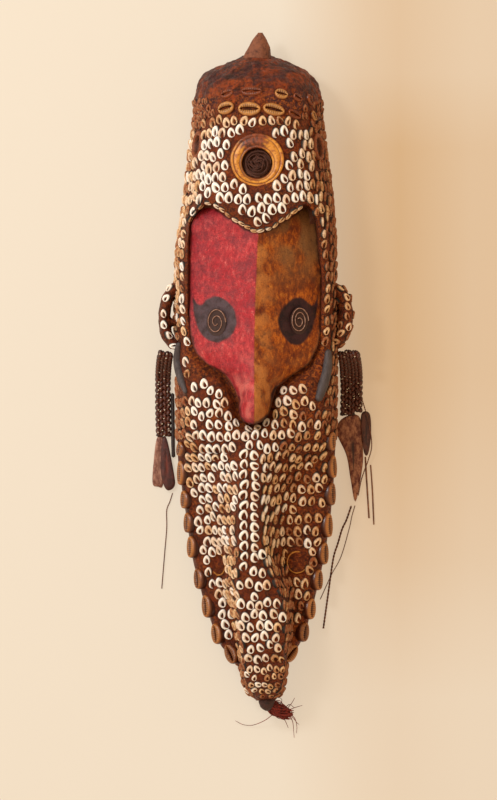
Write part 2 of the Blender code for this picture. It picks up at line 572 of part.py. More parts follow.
def lay_cords(parts, fibre, pod_skin):
    """Braids, pods, strings and sticks, which leave the ears and lie on the floor beside the mask."""
    braids = {
        "braid_left_outer": [(-86.3, 21, 40), (-87.7, 16, 36), (-88.8, 8, 22), (-89.4, 0, 9), (-89.6, -9, 3.3), (-89.6, -30, 3.1), (-89, -56.5, 3.1)],
        "braid_left_inner": [(-79.8, 20, 40), (-81, 15, 36), (-82.2, 7, 22), (-82.8, -1, 9), (-83, -10, 3.3), (-83, -30, 3.1), (-82.6, -56.5, 3.1)],
        "braid_right_inner": [(79.5, 20.5, 40), (80.5, 14, 35), (81.5, 6, 21), (82, -2, 8.5), (82.4, -11, 3.2), (82.2, -25, 3), (82, -37, 3)],
        "braid_right_middle": [(85.5, 22, 40), (86.7, 15, 36), (87.9, 7, 22), (88.5, -1, 9), (88.6, -10, 3.2), (88.6, -25, 3), (88.4, -37, 3)],
        "braid_right_outer": [(91.8, 21.5, 40), (93, 15, 36), (94.3, 7, 22), (95, -1, 9), (95.2, -10, 3.2), (95.2, -22, 3), (95, -34, 3)],
    }
    for name, path in braids.items():
        tube(name, path, 5.6, parts, fibre)
    tube("strap_left", [(-77.6, -18, 2.4), (-77.3, -34, 2.4), (-77, -50, 2.4), (-77, -63, 2.4), (-76.6, -76, 2.4)], 3.6, parts, fibre)

    pod("pod_left_light", [(-92, -59), (-86, -58), (-85, -80), (-86.5, -103), (-91, -104), (-96, -101), (-95, -80)], 0.2, 2.4, parts, pod_skin)
    pod("pod_left_dark", [(-87, -60), (-82.5, -60.5), (-76, -92), (-75.5, -103.5), (-82, -107.5), (-86.5, -100), (-88.5, -84)], 2.8, 5.6, parts, pod_skin)
    pod("pod_right_mottled", [(82, -39.5), (96.5, -39.5), (99.5, -70), (98.5, -89), (92.5, -118), (88, -98), (84, -75), (74.5, -52)], 0.2, 3.0, parts, pod_skin)
    pod("pod_right_dark", [(97.5, -38), (105.5, -36), (107, -55), (104, -74), (99.8, -70)], 3.4, 5.6, parts, pod_skin)

    tube("string_left", [(-77.5, -110, 1), (-80, -118, 1), (-82.9, -126, 1), (-82.9, -142, 1), (-84.5, -162, 1), (-86, -180, 1), (-87.5, -198.5, 1)], 1.2, parts, fibre)
    tube("string_right_loop", [(93, -9.8, 7.6), (98.6, -23.5, 7), (105, -46.5, 7.2), (107.4, -66, 7.2), (104, -80, 5), (101.4, -87, 4), (97.8, -98, 4), (95, -112, 4.2)], 1.2, parts, fibre)
    tube("string_right_long", [(88.5, -122, 1.4), (84, -135, 1.4), (80, -143.5, 1.4), (76, -157, 1.4), (71.8, -171, 1.4), (67, -204, 1.4), (62.6, -235.5, 1.4)], 2.0, parts, fibre)
    tube("string_right_thin", [(92, -121.5, 0.9), (89, -132, 0.9), (86.5, -143.5, 0.9), (79, -169, 0.9), (70, -186, 3.6), (59.8, -208.5, 0.9)], 1.0, parts, fibre)
    tube("stick_right_inner", [(101.6, -76.5, 1.2), (102.5, -93, 1.2), (105, -133, 1.2)], 1.6, parts, fibre)
    tube("stick_right_outer", [(106.5, -84, 1.2), (108, -105, 1.2), (109.5, -139, 1.2)], 1.4, parts, fibre)


main()
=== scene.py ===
"""Dresses the Middle Sepik mask: shell-set paste, painted face, cowries, coils, braids, pods and strings.

Tables are in millimetres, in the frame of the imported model: X right, Y to the crown, Z up from the floor.
"""

import json
import math
import random

import bpy
import numpy as np
from mathutils import Matrix, Vector, noise

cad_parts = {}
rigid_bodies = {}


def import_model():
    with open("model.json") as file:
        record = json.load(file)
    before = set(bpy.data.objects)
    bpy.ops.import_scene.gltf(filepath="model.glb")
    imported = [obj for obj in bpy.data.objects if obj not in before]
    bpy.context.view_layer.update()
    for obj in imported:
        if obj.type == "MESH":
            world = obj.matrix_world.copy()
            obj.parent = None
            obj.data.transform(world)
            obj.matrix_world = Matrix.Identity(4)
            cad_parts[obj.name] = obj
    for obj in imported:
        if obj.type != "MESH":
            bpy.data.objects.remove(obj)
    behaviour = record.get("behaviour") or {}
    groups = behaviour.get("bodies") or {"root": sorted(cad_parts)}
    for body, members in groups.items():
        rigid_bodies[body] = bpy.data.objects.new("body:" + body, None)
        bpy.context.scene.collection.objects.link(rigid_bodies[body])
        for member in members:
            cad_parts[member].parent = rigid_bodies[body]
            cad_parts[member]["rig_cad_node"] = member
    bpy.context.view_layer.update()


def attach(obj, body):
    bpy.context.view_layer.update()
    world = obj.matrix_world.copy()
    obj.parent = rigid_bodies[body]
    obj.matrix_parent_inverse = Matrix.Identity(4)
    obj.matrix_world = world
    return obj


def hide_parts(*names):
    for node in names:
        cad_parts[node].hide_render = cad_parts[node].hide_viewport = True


MM = 0.001
PIXEL = 0.921  # mm for one pixel of the picture
PASTE_FOOT = 3.0  # the paste stops this far above the back rim
PICTURE_WIDTH, PICTURE_HEIGHT = 497, 800  # pixels
ORIGIN = (256, 374.5)  # the pixel that x = 0, Y = 0 falls on
CAMERA_HEIGHT = 8.0  # m
SCALE_LEVEL = 0.07  # height above the floor that the scale holds at, m

# Outer form: Y, left edge, right edge, height of the front, squareness of the section.
BODY = [
    (294, -12, 14, 38, 2.4), (289.5, -22.5, 26.5, 55, 2.5), (281.5, -41, 44.5, 70, 2.6),
    (271, -52.5, 55.5, 85, 2.6), (257.5, -56.3, 60, 95, 2.6), (242, -56.3, 60.5, 98.5, 2.6),
    (225, -58.3, 62.3, 100.5, 2.6), (201, -61.5, 65, 102, 2.6), (179, -64, 68, 104, 2.6),
    (150, -67.5, 71, 104, 3.0), (120, -71.8, 72.7, 96, 4.0), (91, -73.5, 73, 91, 4.4),
    (59, -74, 73.7, 89.5, 4.4), (32, -74, 73.7, 87.5, 4.2), (-5, -73, 73.7, 87.5, 4.0),
    (-28, -72.5, 73.7, 89, 3.8), (-46.5, -72.5, 73.5, 86.5, 3.6), (-65, -72.5, 73.5, 74, 3.8),
    (-80.5, -72, 73, 59, 4.2), (-101, -69, 71.8, 49, 4.6), (-123, -65.8, 69.8, 42.5, 5),
    (-145, -62.6, 67.2, 38, 5), (-167, -59.4, 63.8, 34, 5), (-189, -54, 59, 31.3, 5),
    (-211.5, -47.5, 53.5, 28.6, 5), (-226, -42.5, 49.5, 26.7, 5), (-241, -37.5, 45, 25.8, 5),
    (-254, -30.5, 38, 25, 5), (-265, -20.5, 31, 24, 4.5), (-272, -15, 28.6, 24, 4.2),
    (-285, -12, 27.5, 23, 4), (-295, -7.4, 24, 22, 3.5), (-301.5, 0, 18, 20, 3),
]
# Central ridge and snout: Y, centre, half width of the crest, half width of the foot, height, hollowness.
RIDGE = [
    (-42, -5.5, 13, 72, 0, 1.2), (-51, -6.4, 11, 69, 6.5, 1.2), (-65, -6.4, 9.2, 62.5, 20, 1.3),
    (-80.5, -6.4, 8.7, 55.5, 34, 1.4), (-101, -7, 8.7, 48, 42.5, 1.5), (-123, -7, 9.2, 41.5, 46, 1.6),
    (-145, -6.4, 10, 37, 47, 1.6), (-167, -5, 11.5, 33, 46, 1.6), (-185, -1.4, 15.7, 34, 46, 1.5),
    (-198.5, 2.3, 18.4, 32, 46, 1.3), (-211.5, 4.6, 19.3, 29.5, 46, 1.1), (-226, 6, 19.8, 26.7, 45, 1),
    (-244.5, 7, 19.3, 25, 42.5, 1), (-255.5, 7.2, 18.4, 23, 38.7, 1), (-263, 7.4, 18, 22.6, 33, 1),
    (-270, 7.4, 18, 22, 35, 1), (-281.5, 7.4, 16.6, 20.3, 33, 1), (-290.5, 8.3, 13, 16.6, 26, 1),
    (-298, 8.7, 8.3, 12, 16.5, 1), (-301.5, 8.7, 4.6, 8.3, 9, 1),
]
# Underside of the overhanging snout: Y, height above the back rim.
SNOUT_LIFT = [(-262, 0), (-272, 5), (-284, 10), (-294, 16), (-301.5, 19.5)]
# Painted face: Y, left edge, right edge, ridge line, height of the ridge, height of the edge, roundness.
FACE = [
    (155, -46, 47, 2.3, 90, 64.5, 1.2), (150, -52.5, 50, 2.2, 92, 65.5, 1.2),
    (142, -59, 54.5, 2, 93.5, 66, 1.2), (128.5, -60.8, 56.6, 1.9, 95, 67, 1.2),
    (115, -61.7, 57.6, 1.2, 96, 68, 1.2), (92, -62, 60, 0.2, 97, 69, 1.2),
    (69, -62, 60, -0.9, 98.5, 70, 1.2), (52, -61.7, 59.4, -1.2, 100, 72, 1.2),
    (31, -59, 58, -1.6, 102, 73.5, 1.2), (19, -54.3, 53.4, -1.7, 103.5, 75.5, 1.25),
    (8.7, -43.3, 47, -1.8, 105, 78, 1.3), (0.5, -29.5, 35, -1.8, 107, 81, 1.4),
    (-12.4, -20.3, 19, -1.8, 109.5, 84.5, 1.7), (-25.3, -15.7, 14.7, -1.8, 112.5, 86.5, 2),
    (-34.5, -15.6, 12.4, -1.8, 113, 87, 2.2), (-40, -14, 9.6, -1.8, 110.5, 87, 2.4),
    (-44.7, -10.5, 4, -1.8, 103, 88, 2.5),
]
# Edge of the face as it shows, from the top left corner down round the nose and back along the forehead lobe.
FACE_EDGE = [
    (-46, 156), (-59, 142.3), (-61, 128.5), (-61.8, 114.7), (-62, 68.6), (-61.7, 52), (-59, 31), (-54.3, 19),
    (-43.3, 8.7), (-30, 0.5), (-21, -12.4), (-16, -25.3), (-15.6, -34.5), (-13.6, -41), (-6, -46),
    (6.4, -41), (12.4, -34.5), (14.7, -25.3), (14.8, -19), (19, -12.4), (31.3, -2.3), (47, 8.7), (53.4, 19),
    (58, 31), (60, 63), (60, 94.4), (57.6, 114.7), (56.6, 128.5), (54.3, 142.3), (47, 155.2), (39.2, 150),
    (27.6, 142.3), (14.7, 134), (1.4, 130.8), (-10, 134), (-20.3, 140.5), (-33.2, 150),
]
GROOVE_DEPTH = 11.5
GROOVE_WIDTH = 6.5
FACE_PROUD = 0.9  # the painted face stands this far off the carved one

# Cords: points of the route, diameter.
CORDS = {
    "braid_left_outer": (
        [(-86.3, 21, 40), (-87.7, 16, 36), (-88.8, 8, 22), (-89.4, 0, 9), (-89.6, -9, 3.3),
         (-89.6, -30, 3.1), (-89, -56.5, 3.1)],
        5.6,
    ),
    "braid_left_inner": (
        [(-79.8, 20, 40), (-81, 15, 36), (-82.2, 7, 22), (-82.8, -1, 9), (-83, -10, 3.3), (-83, -30, 3.1),
         (-82.6, -56.5, 3.1)],
        5.6,
    ),
    "braid_right_inner": (
        [(79.5, 20.5, 40), (80.5, 14, 35), (81.5, 6, 21), (82, -2, 8.5), (82.4, -11, 3.2), (82.2, -25, 3),
         (82, -37, 3)],
        5.6,
    ),
    "braid_right_middle": (
        [(85.5, 22, 40), (86.7, 15, 36), (87.9, 7, 22), (88.5, -1, 9), (88.6, -10, 3.2), (88.6, -25, 3),
         (88.4, -37, 3)],
        5.6,
    ),
    "braid_right_outer": (
        [(91.8, 21.5, 40), (93, 15, 36), (94.3, 7, 22), (95, -1, 9), (95.2, -10, 3.2), (95.2, -22, 3),
         (95, -34, 3)],
        5.6,
    ),
    "strap_left": (
        [(-77.6, -18, 2.4), (-77.3, -34, 2.4), (-77, -50, 2.4), (-77, -63, 2.4), (-76.6, -76, 2.4)],
        3.6,
    ),
    "string_left": (
        [(-77.5, -110, 1), (-80, -118, 1), (-82.9, -126, 1), (-82.9, -142, 1), (-84.5, -162, 1),
         (-86, -180, 1), (-87.5, -198.5, 1)],
        1.2,
    ),
    "string_right_loop": (
        [(93, -9.8, 7.6), (98.6, -23.5, 7), (105, -46.5, 7.2), (107.4, -66, 7.2), (104, -80, 5),
         (101.4, -87, 4), (97.8, -98, 4), (95, -112, 4.2)],
        1.2,
    ),
    "string_right_long": (
        [(88.5, -122, 1.4), (84, -135, 1.4), (80, -143.5, 1.4), (76, -157, 1.4), (71.8, -171, 1.4),
         (67, -204, 1.4), (62.6, -235.5, 1.4)],
        2.0,
    ),
    "string_right_thin": (
        [(92, -121.5, 0.9), (89, -132, 0.9), (86.5, -143.5, 0.9), (79, -169, 0.9), (70, -186, 3.6),
         (59.8, -208.5, 0.9)],
        1.0,
    ),
    "stick_right_inner": ([(101.6, -76.5, 1.2), (102.5, -93, 1.2), (105, -133, 1.2)], 1.6),
    "stick_right_outer": ([(106.5, -84, 1.2), (108, -105, 1.2), (109.5, -139, 1.2)], 1.4),
}
# Pods: outline, lowest and highest point.
PODS = {
    "pod_left_light": (
        [(-92, -59), (-86, -58), (-85, -80), (-86.5, -103), (-91, -104), (-96, -101), (-95, -80)],
        0.2, 2.4,
    ),
    "pod_left_dark": (
        [(-87, -60), (-82.5, -60.5), (-76, -92), (-75.5, -103.5), (-82, -107.5), (-86.5, -100),
         (-88.5, -84)],
        2.8, 5.6,
    ),
    "pod_right_mottled": (
        [(82, -39.5), (96.5, -39.5), (99.5, -70), (98.5, -89), (92.5, -118), (88, -98), (84, -75),
         (74.5, -52)],
        0.2, 3.0,
    ),
    "pod_right_dark": ([(97.5, -38), (105.5, -36), (107, -55), (104, -74), (99.8, -70)], 3.4, 5.6),
}

# Pods: name of the paint, colour of the skin, its spots and its seam.
POD_TONES = {
    "pod_left_light": ("pod_light", (166, 120, 100), (104, 54, 40), (120, 78, 62)),
    "pod_left_dark": ("pod_dark", (88, 34, 24), (54, 20, 16), (120, 50, 34)),
    "pod_right_mottled": ("pod_mottled", (172, 116, 84), (96, 36, 20), (48, 22, 16)),
    "pod_right_dark": ("pod_brown", (96, 48, 32), (56, 26, 18), (40, 20, 14)),
}

# Cowries lying flat along the brow: x, Y, turn in degrees, length, width, wear.
BROW_COWRIES = [
    (-26.5, 257.5, 5, 13, 9, 0.9), (-4.6, 259.5, 0, 20, 10, 0.9), (22.5, 257, -8, 13, 11, 0.3),
    (37.5, 254.5, -12, 11, 8, 0.7), (49, 253, -30, 12, 8, 0.8), (-27.2, 244.5, 8, 17.5, 13, 0.2),
    (-6.6, 243.5, -2, 21.5, 14, 0.1), (15.5, 243, -12, 21, 12.5, 0.05), (34.5, 239, -14, 15, 8.5, 0.8),
    (51.5, 238.5, -20, 11, 8, 0.5),
]
# Cowries along the edge: Y of each, tilt outward in degrees, length.
EDGE_LEFT = [
    (-69, 66, 14), (-91.5, 66, 23.5), (-116, 64, 17.5), (-137.5, 62, 19.5), (-160, 60, 21), (-189.5, 56, 20),
    (-215, 54, 22), (-240.5, 50, 20), (-259, 36, 20),
]
EDGE_RIGHT = [
    (-62, 66, 18), (-85.5, 64, 22.5), (-111, 62, 22), (-140, 60, 23), (-166, 58, 21.5), (-190.5, 56, 20),
    (-217.5, 52, 20), (-239, 50, 18.5), (-258.5, 36, 19.5),
]
COWRIE_WIDTH = 14.5

# Forehead disc: x, Y, radius. Its hole sits this far below its middle.
DISC = (1, 196.6, 24.5)
HOLE_DROP = 3.0
# Rings: x, Y, and for those on the snout the lean outward in radians.
TEMPLE_RINGS = {"temple_ring_left": (-53.4, 211.4), "temple_ring_right": (57.1, 209.5)}
SNOUT_RINGS = {"snout_ring_left": (-33.5, -175.5, 0.9), "snout_ring_right": (37.8, -173.6, 0.35)}
# Eye coils: x, Y, half width, half height, turns.
EYE_COILS = {"eye_coil_left": (-36, 48, 10.0, 12.9, 1.9), "eye_coil_right": (39.2, 49.3, 9.2, 12.6, 2.4)}
# Tusks: points of the route, radius at each.
TUSKS = {
    "tusk_left": ([(-71, 29), (-72, 20), (-72, 10), (-69, -3.5), (-64.5, -17)], [2.0, 3.2, 3.4, 3.0, 1.6]),
    "tusk_right": ([(66.5, 22.5), (65.7, 10), (63.8, -1.5), (60.5, -13), (57, -24)], [2.2, 3.6, 4.0, 3.8, 2.6]),
}
# Braids: how much wider than the cord, length of a turn, radius of a strand, size of a bead.
BRAID_PLUMP, BRAID_TURN, BRAID_STRAND, BEAD = 1.9, 16.0, 1.85, 0.85
# Strings: length of a turn and radius of a strand, for a diameter of 1.
STRING_TURN, STRING_STRAND = 3.2, 0.3

# The paste as a grid.
SKIN_ROWS, SKIN_COLUMNS = 381, 201
MIDDLE = SKIN_COLUMNS // 2
# Small shells: where they begin and end, how deep they sit, lengths.
SHELLS_TOP, SHELLS_END = 252.0, -299
SHELL_SINK = 0.5
RIM_SHELL, CHEEK_SHELL, CREST_SHELL, EAR_SHELL = 7.8, 9.6, 10.4, 9.0

# Loose fibres of the tuft: points of the route.
LONG_FIBRES = [
    [(17, -314, 16), (8, -321, 8), (-3, -325.5, 3), (-12, -325, 1.5), (-19, -321.5, 1)],
    [(30, -313, 12), (34, -322, 7), (35, -331, 3), (35.5, -337, 1)],
    [(30, -313, 12), (36, -319, 8), (38, -327, 4), (37.5, -333, 1.5)],
    [(28, -311, 13), (33, -305, 10), (36, -300, 7)],
    [(28, -312, 13), (36, -309, 10), (43, -307, 6)],
    [(27, -313, 12), (33, -317, 7), (38, -323, 3), (40, -325, 1)],
    [(26, -310, 14), (31, -306, 12), (35.5, -309, 9)],
    [(22, -315, 13), (27, -321, 8), (30, -328, 3)],
    [(20, -310, 17), (24, -302, 14), (21, -299, 12)],
]
# Dark patches round the eyes, as they show.
EYE_PATCHES = [
    [(-58, 70), (-54, 65), (-50, 64), (-45, 69), (-37, 72), (-28.5, 69), (-21, 61), (-18, 51), (-19.5, 41),
     (-25, 33.5), (-35, 29.5), (-44, 32), (-51.5, 38.5), (-56, 50), (-57.5, 59.5)],
    [(57, 72.5), (56, 59.5), (53, 45.5), (48.5, 35.5), (40.5, 27.5), (31, 29), (23, 38.5), (20.3, 48),
     (23, 58.5), (29, 66), (36, 70.5), (43, 70), (48.5, 65), (53, 63.5)],
]
# Bare paste below the face, between its lower edges and the cheek lobes.
BARE = [
    [(-62, 28), (-54, 18), (-43, 8), (-29, 0), (-20, -12), (-15, -26), (-14, -40), (-17, -45), (-21, -30),
     (-28.5, -21), (-40, -9), (-51.5, -5), (-60, -9), (-62, 4)],
    [(60, 30), (52, 18), (46, 8), (31, -3), (19, -13), (13, -17), (14, -16), (27, -9.5), (40.5, -9),
     (50, -16), (56, -22), (58, -8)],
]


def curve(table, y):
    """Every column of a table at y, smoothly between its rows."""
    rows = np.array(sorted(table), float)
    keys, values = rows[:, 0], rows[:, 1:]
    y = np.clip(y, keys[0], keys[-1])
    slopes = np.gradient(values, keys, axis=0)
    i = int(np.clip(np.searchsorted(keys, y) - 1, 0, len(keys) - 2))
    step = keys[i + 1] - keys[i]
    t = (y - keys[i]) / step
    return (
        (2 * t**3 - 3 * t**2 + 1) * values[i]
        + (t**3 - 2 * t**2 + t) * step * slopes[i]
        + (3 * t**2 - 2 * t**3) * values[i + 1]
        + (t**3 - t**2) * step * slopes[i + 1]
    )


def smooth_line(points, count, closed=False):
    """Points evenly spaced along a smooth curve through the given ones."""
    p = np.array(points, float)
    p = np.vstack([p[-1:], p, p[:2]]) if closed else np.vstack([2 * p[0] - p[1], p, 2 * p[-1] - p[-2]])
    line = []
    for i in range(1, len(p) - 2):
        for t in np.linspace(0, 1, 16, endpoint=False):
            line.append(0.5 * (
                2 * p[i] + (p[i + 1] - p[i - 1]) * t
                + (2 * p[i - 1] - 5 * p[i] + 4 * p[i + 1] - p[i + 2]) * t**2
                + (3 * p[i] - p[i - 1] - 3 * p[i + 1] + p[i + 2]) * t**3
            ))
    line = np.array(line + [p[-2]])
    run = np.concatenate([[0], np.cumsum(np.linalg.norm(np.diff(line, axis=0), axis=1))])
    stops = np.linspace(0, run[-1], count + 1)[:-1] if closed else np.linspace(0, run[-1], count)
    return np.stack([np.interp(stops, run, line[:, k]) for k in range(line.shape[1])], axis=1)


def length_of(points):
    return float(np.linalg.norm(np.diff(np.array(points, float), axis=0), axis=1).sum())


def edge_distance(outline, x, y):
    """Distance of points from a closed outline, negative inside it."""
    a = np.array(outline, float)
    b = np.roll(a, -1, axis=0)
    p = np.stack([x, y], axis=-1)[:, None]
    t = np.clip(((p - a) * (b - a)).sum(-1) / ((b - a) ** 2).sum(-1), 0, 1)
    away = np.linalg.norm(p - a - t[..., None] * (b - a), axis=-1).min(axis=1)
    spans = (a[:, 1] > p[..., 1]) != (b[:, 1] > p[..., 1])
    rise = np.where(b[:, 1] == a[:, 1], 1e-9, b[:, 1] - a[:, 1])
    cross = a[:, 0] + (p[..., 1] - a[:, 1]) / rise * (b[:, 0] - a[:, 0])
    inside = (spans & (p[..., 0] < cross)).sum(axis=1) % 2 == 1
    return np.where(inside, -away, away)


def ease(value, low, high):
    """0 below low, 1 above high, smooth between."""
    t = np.clip((value - low) / (high - low), 0, 1)
    return t * t * (3 - 2 * t)


def circle(count):
    """So many angles evenly round a circle."""
    return np.linspace(0, 2 * math.pi, count, endpoint=False)


def lumps(points, size, seed=0.0):
    """Smooth noise from -1 to 1 at points, with lumps of about so many mm."""
    shift = Vector((seed * 17.3, seed * -9.1, seed * 4.7))
    heights = [noise.noise(Vector(p) / size + shift) for p in np.reshape(points, (-1, 3))]
    return np.array(heights).reshape(np.shape(points)[:-1])


def spread_over(centre, half, mid, crest, foot, across):
    """Places across the body, close together at its edges, with one at the crest and foot of the ridge."""
    sixth = (across - 1) // 6
    rows = []
    for side in (-1, 1):
        reach = side * (centre - mid) + half
        low = min(foot, 0.85 * reach)
        high = min(crest, 0.4 * low)
        top = np.linspace(0, high, sixth, endpoint=False)
        flank = np.linspace(high, low, sixth, endpoint=False)
        edge = low + (reach - low) * np.sin(np.linspace(0, math.pi / 2, across // 2 + 1 - 2 * sixth))
        rows.append(mid + side * np.concatenate([top, flank, edge]))
    return np.concatenate([rows[0][::-1], rows[1][1:]])


def face_height(x, y):
    """Height of the painted face at x, y."""
    left, right, line, top, edge, roundness = curve(FACE, y)
    reach = np.where(x < line, line - left, right - line)
    return top - (top - edge) * np.clip(np.abs(x - line) / reach, 0, 1) ** roundness


def section(y, across):
    """x and z of the outer front across the body at y."""
    left, right, height, square = curve(BODY, y)
    mid, crest, foot, ridge, hollow = curve(RIDGE, y)
    centre, half = (left + right) / 2, (right - left) / 2
    crest, foot = max(crest, 2), max(foot, 4)
    x = spread_over(centre, half, np.clip((-20 - y) / 30, 0, 1) * (mid - centre) + centre, crest, foot, across)
    side = np.clip(np.abs(x - centre) / half, 0, 1)
    z = height * (1 - side**square) ** (1 / square)
    if y < -42:
        slope = np.clip((np.abs(x - mid) - crest) / (foot - crest), 0, 1)
        z = z + ridge * (1 - slope) ** hollow * np.clip(z / 12, 0, 1)
    groove = np.clip((45 - y) / 25, 0, 1) * np.clip((y + 62) / 12, 0, 1)
    if groove > 0:
        away = np.abs(edge_distance(FACE_EDGE, x, np.full_like(x, y)))
        z = z - groove * GROOVE_DEPTH * np.exp(-((away / GROOVE_WIDTH) ** 2)) * (z > 30)
    low = max(PASTE_FOOT, float(curve(SNOUT_LIFT, y)[0]))
    return x, low + z * (1 - low / z.max())


def surface_at(x, y):
    """The point of the outer front at x, y and its normal."""
    def height(a, b):
        sx, sz = section(b, 161)
        return float(np.interp(a, sx, sz))
    step = 2.0
    slope_x = (height(x + step, y) - height(x - step, y)) / (2 * step)
    slope_y = (height(x, y + step) - height(x, y - step)) / (2 * step)
    return Vector((x, y, height(x, y))), Vector((-slope_x, -slope_y, 1)).normalized()


def edge_at(y, side, tilt):
    """The point near the edge at y where the front leans outward by tilt degrees, its normal and its run."""
    x, z = section(y, 241)
    lean = np.degrees(np.arctan2(-np.gradient(z) * side, np.gradient(x)))
    outer = (x - x[0] < 9) if side < 0 else (x[-1] - x < 9)
    i = int(np.abs(np.where(outer, lean - tilt, 999)).argmin())
    above, below = section(y + 6, 241), section(y - 6, 241)
    end = -1 if side > 0 else 0
    run = Vector((above[0][end] - below[0][end], 12, above[1][i] - below[1][i]))
    normal = Vector((side * math.sin(math.radians(tilt)), 0, math.cos(math.radians(tilt))))
    return Vector((x[i], y, z[i])), normal, run.normalized()


def frame_of(place, normal, along):
    """A placing matrix in mm: x along, z along the normal."""
    across = normal.cross(along).normalized()
    along = across.cross(normal).normalized()
    turn = Matrix((along, across, normal)).transposed().to_4x4()
    return Matrix.Translation(place) @ turn


def placed(place, points):
    """Points moved by a placing matrix."""
    return [tuple(place @ Vector(p)) for p in points]


def srgb(r, g, b):
    """A linear colour from one in 0 to 255."""
    parts = (((c / 255 + 0.055) / 1.055) ** 2.4 if c > 10 else c / 255 / 12.92 for c in (r, g, b))
    return (*parts, 1.0)


class Paint:
    """A material in the making: each call adds one node and returns what comes out of it."""

    def __init__(self, name, roughness=0.7, **sockets):
        self.material = bpy.data.materials.new(name)
        self.material.use_nodes = True
        self.tree = self.material.node_tree
        self.shader = self.tree.nodes["Principled BSDF"]
        self.shader.inputs["Roughness"].default_value = roughness
        for key, value in sockets.items():
            self.shader.inputs[key.replace("_", " ")].default_value = value
        self.place = self.node("TexCoord", out="Object")

    def node(self, kind, out=0, settings=(), **inputs):
        made = self.tree.nodes.new("ShaderNode" + kind)
        for key, value in dict(settings).items():
            setattr(made, key, value)
        for key, value in inputs.items():
            self.put(made.inputs[key.replace("_", " ")], value)
        return made.outputs[out]

    def put(self, socket, value):
        if isinstance(value, bpy.types.NodeSocket):
            self.tree.links.new(value, socket)
        else:
            socket.default_value = value

    def noise(self, size, detail=4.0, stretch=(1, 1, 1), rough=0.6):
        """Noise from 0 to 1 with patches of about so many mm, longer where stretch is smaller."""
        place = self.node("Mapping", Vector=self.place, Scale=stretch)
        return self.node("TexNoise", Vector=place, Scale=1 / (size * MM), Detail=detail, Roughness=rough)

    def cells(self, size):
        return self.node("TexVoronoi", out="Distance", Vector=self.place, Scale=1 / (size * MM))

    def value(self, name):
        """A number that the mesh carries at its points."""
        return self.node("Attribute", out="Fac", settings={"attribute_name": name})

    def ramp(self, factor, *stops):
        """Maps a number through stops of (place, number)."""
        made = self.tree.nodes.new("ShaderNodeValToRGB")
        line = made.color_ramp.elements
        while len(line) < len(stops):
            line.new(0.5)
        for point, (place, number) in zip(line, stops, strict=True):
            point.position = place
            point.color = (number, number, number, 1) if isinstance(number, (int, float)) else number
        self.put(made.inputs["Fac"], factor)
        return made.outputs["Color"]

    def mix(self, factor, one, other):
        return self.node("MixRGB", Fac=factor, Color1=one, Color2=other)

    def sum(self, how, one, other):
        """One sum of two numbers, kept between 0 and 1."""
        made = self.tree.nodes.new("ShaderNodeMath")
        made.operation = how
        made.use_clamp = True
        self.put(made.inputs[0], one)
        self.put(made.inputs[1], other)
        return made.outputs[0]

    def bump(self, height, depth, strength=1.0, under=None):
        inputs = {"Height": height, "Distance": depth * MM, "Strength": strength}
        if under is not None:
            inputs["Normal"] = under
        return self.node("Bump", **inputs)

    def finish(self, colour, normal=None, roughness=None):
        self.put(self.shader.inputs["Base Color"], colour)
        if normal is not None:
            self.put(self.shader.inputs["Normal"], normal)
        if roughness is not None:
            self.put(self.shader.inputs["Roughness"], roughness)
        return self.material


def piece(name, points, faces, materials, values=None, which=None):
    """A mesh piece of the mask from points in mm, with numbers that its material reads."""
    mesh = bpy.data.meshes.new(name)
    mesh.from_pydata((np.asarray(points, float) * MM).tolist(), [], faces)
    for made in materials:
        mesh.materials.append(made)
    for key, numbers in (values or {}).items():
        mesh.attributes.new(key, "FLOAT", "POINT").data.foreach_set("value", np.asarray(numbers, np.float32))
    if which is not None:
        mesh.polygons.foreach_set("material_index", np.asarray(which, np.int32))
    mesh.polygons.foreach_set("use_smooth", np.full(len(mesh.polygons), True))
    mesh.update()
    obj = bpy.data.objects.new(name, mesh)
    bpy.context.scene.collection.objects.link(obj)
    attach(obj, "root")
    return obj


def grid_faces(rows, columns, around=False):
    """Faces between rows of points, joined round each row if it is a ring."""
    last = columns if around else columns - 1
    i, j = np.meshgrid(np.arange(rows - 1), np.arange(last), indexing="ij")
    k = (j + 1) % columns
    faces = np.stack([i * columns + j, i * columns + k, (i + 1) * columns + k, (i + 1) * columns + j], axis=-1)
    return faces.reshape(-1, 4).tolist()


def tube_mesh(line, radius, sides=6, side=(1, 0, 0), flat=1.0):
    """Points and faces of a tube with rounded ends; radius is one number or one for each point."""
    line = np.asarray(line, float)
    radius = np.broadcast_to(radius, len(line))
    along = np.gradient(line, axis=0)
    along /= np.linalg.norm(along, axis=1, keepdims=True)
    across = np.asarray(side, float) - along * (along @ np.asarray(side, float))[:, None]
    across /= np.linalg.norm(across, axis=1, keepdims=True)
    up = np.cross(across, along)
    turn = circle(sides)
    ring = across[:, None] * np.cos(turn)[None, :, None] + up[:, None] * np.sin(turn)[None, :, None] * flat
    points = line[:, None] + ring * radius[:, None, None]
    faces = grid_faces(len(line), sides, around=True)
    caps = [line[0] - along[0] * radius[0] * 0.6, line[-1] + along[-1] * radius[-1] * 0.6]
    first, last = len(line) * sides, (len(line) - 1) * sides
    faces += [((k + 1) % sides, k, first) for k in range(sides)]
    faces += [(last + k, last + (k + 1) % sides, first + 1) for k in range(sides)]
    return np.vstack([points.reshape(-1, 3), caps]), faces


def joined(parts):
    """Several (points, faces) as one."""
    points, faces, count = [], [], 0
    for some, quads in parts:
        points.append(some)
        faces += [tuple(int(v) + count for v in face) for face in quads]
        count += len(some)
    return np.vstack(points), faces


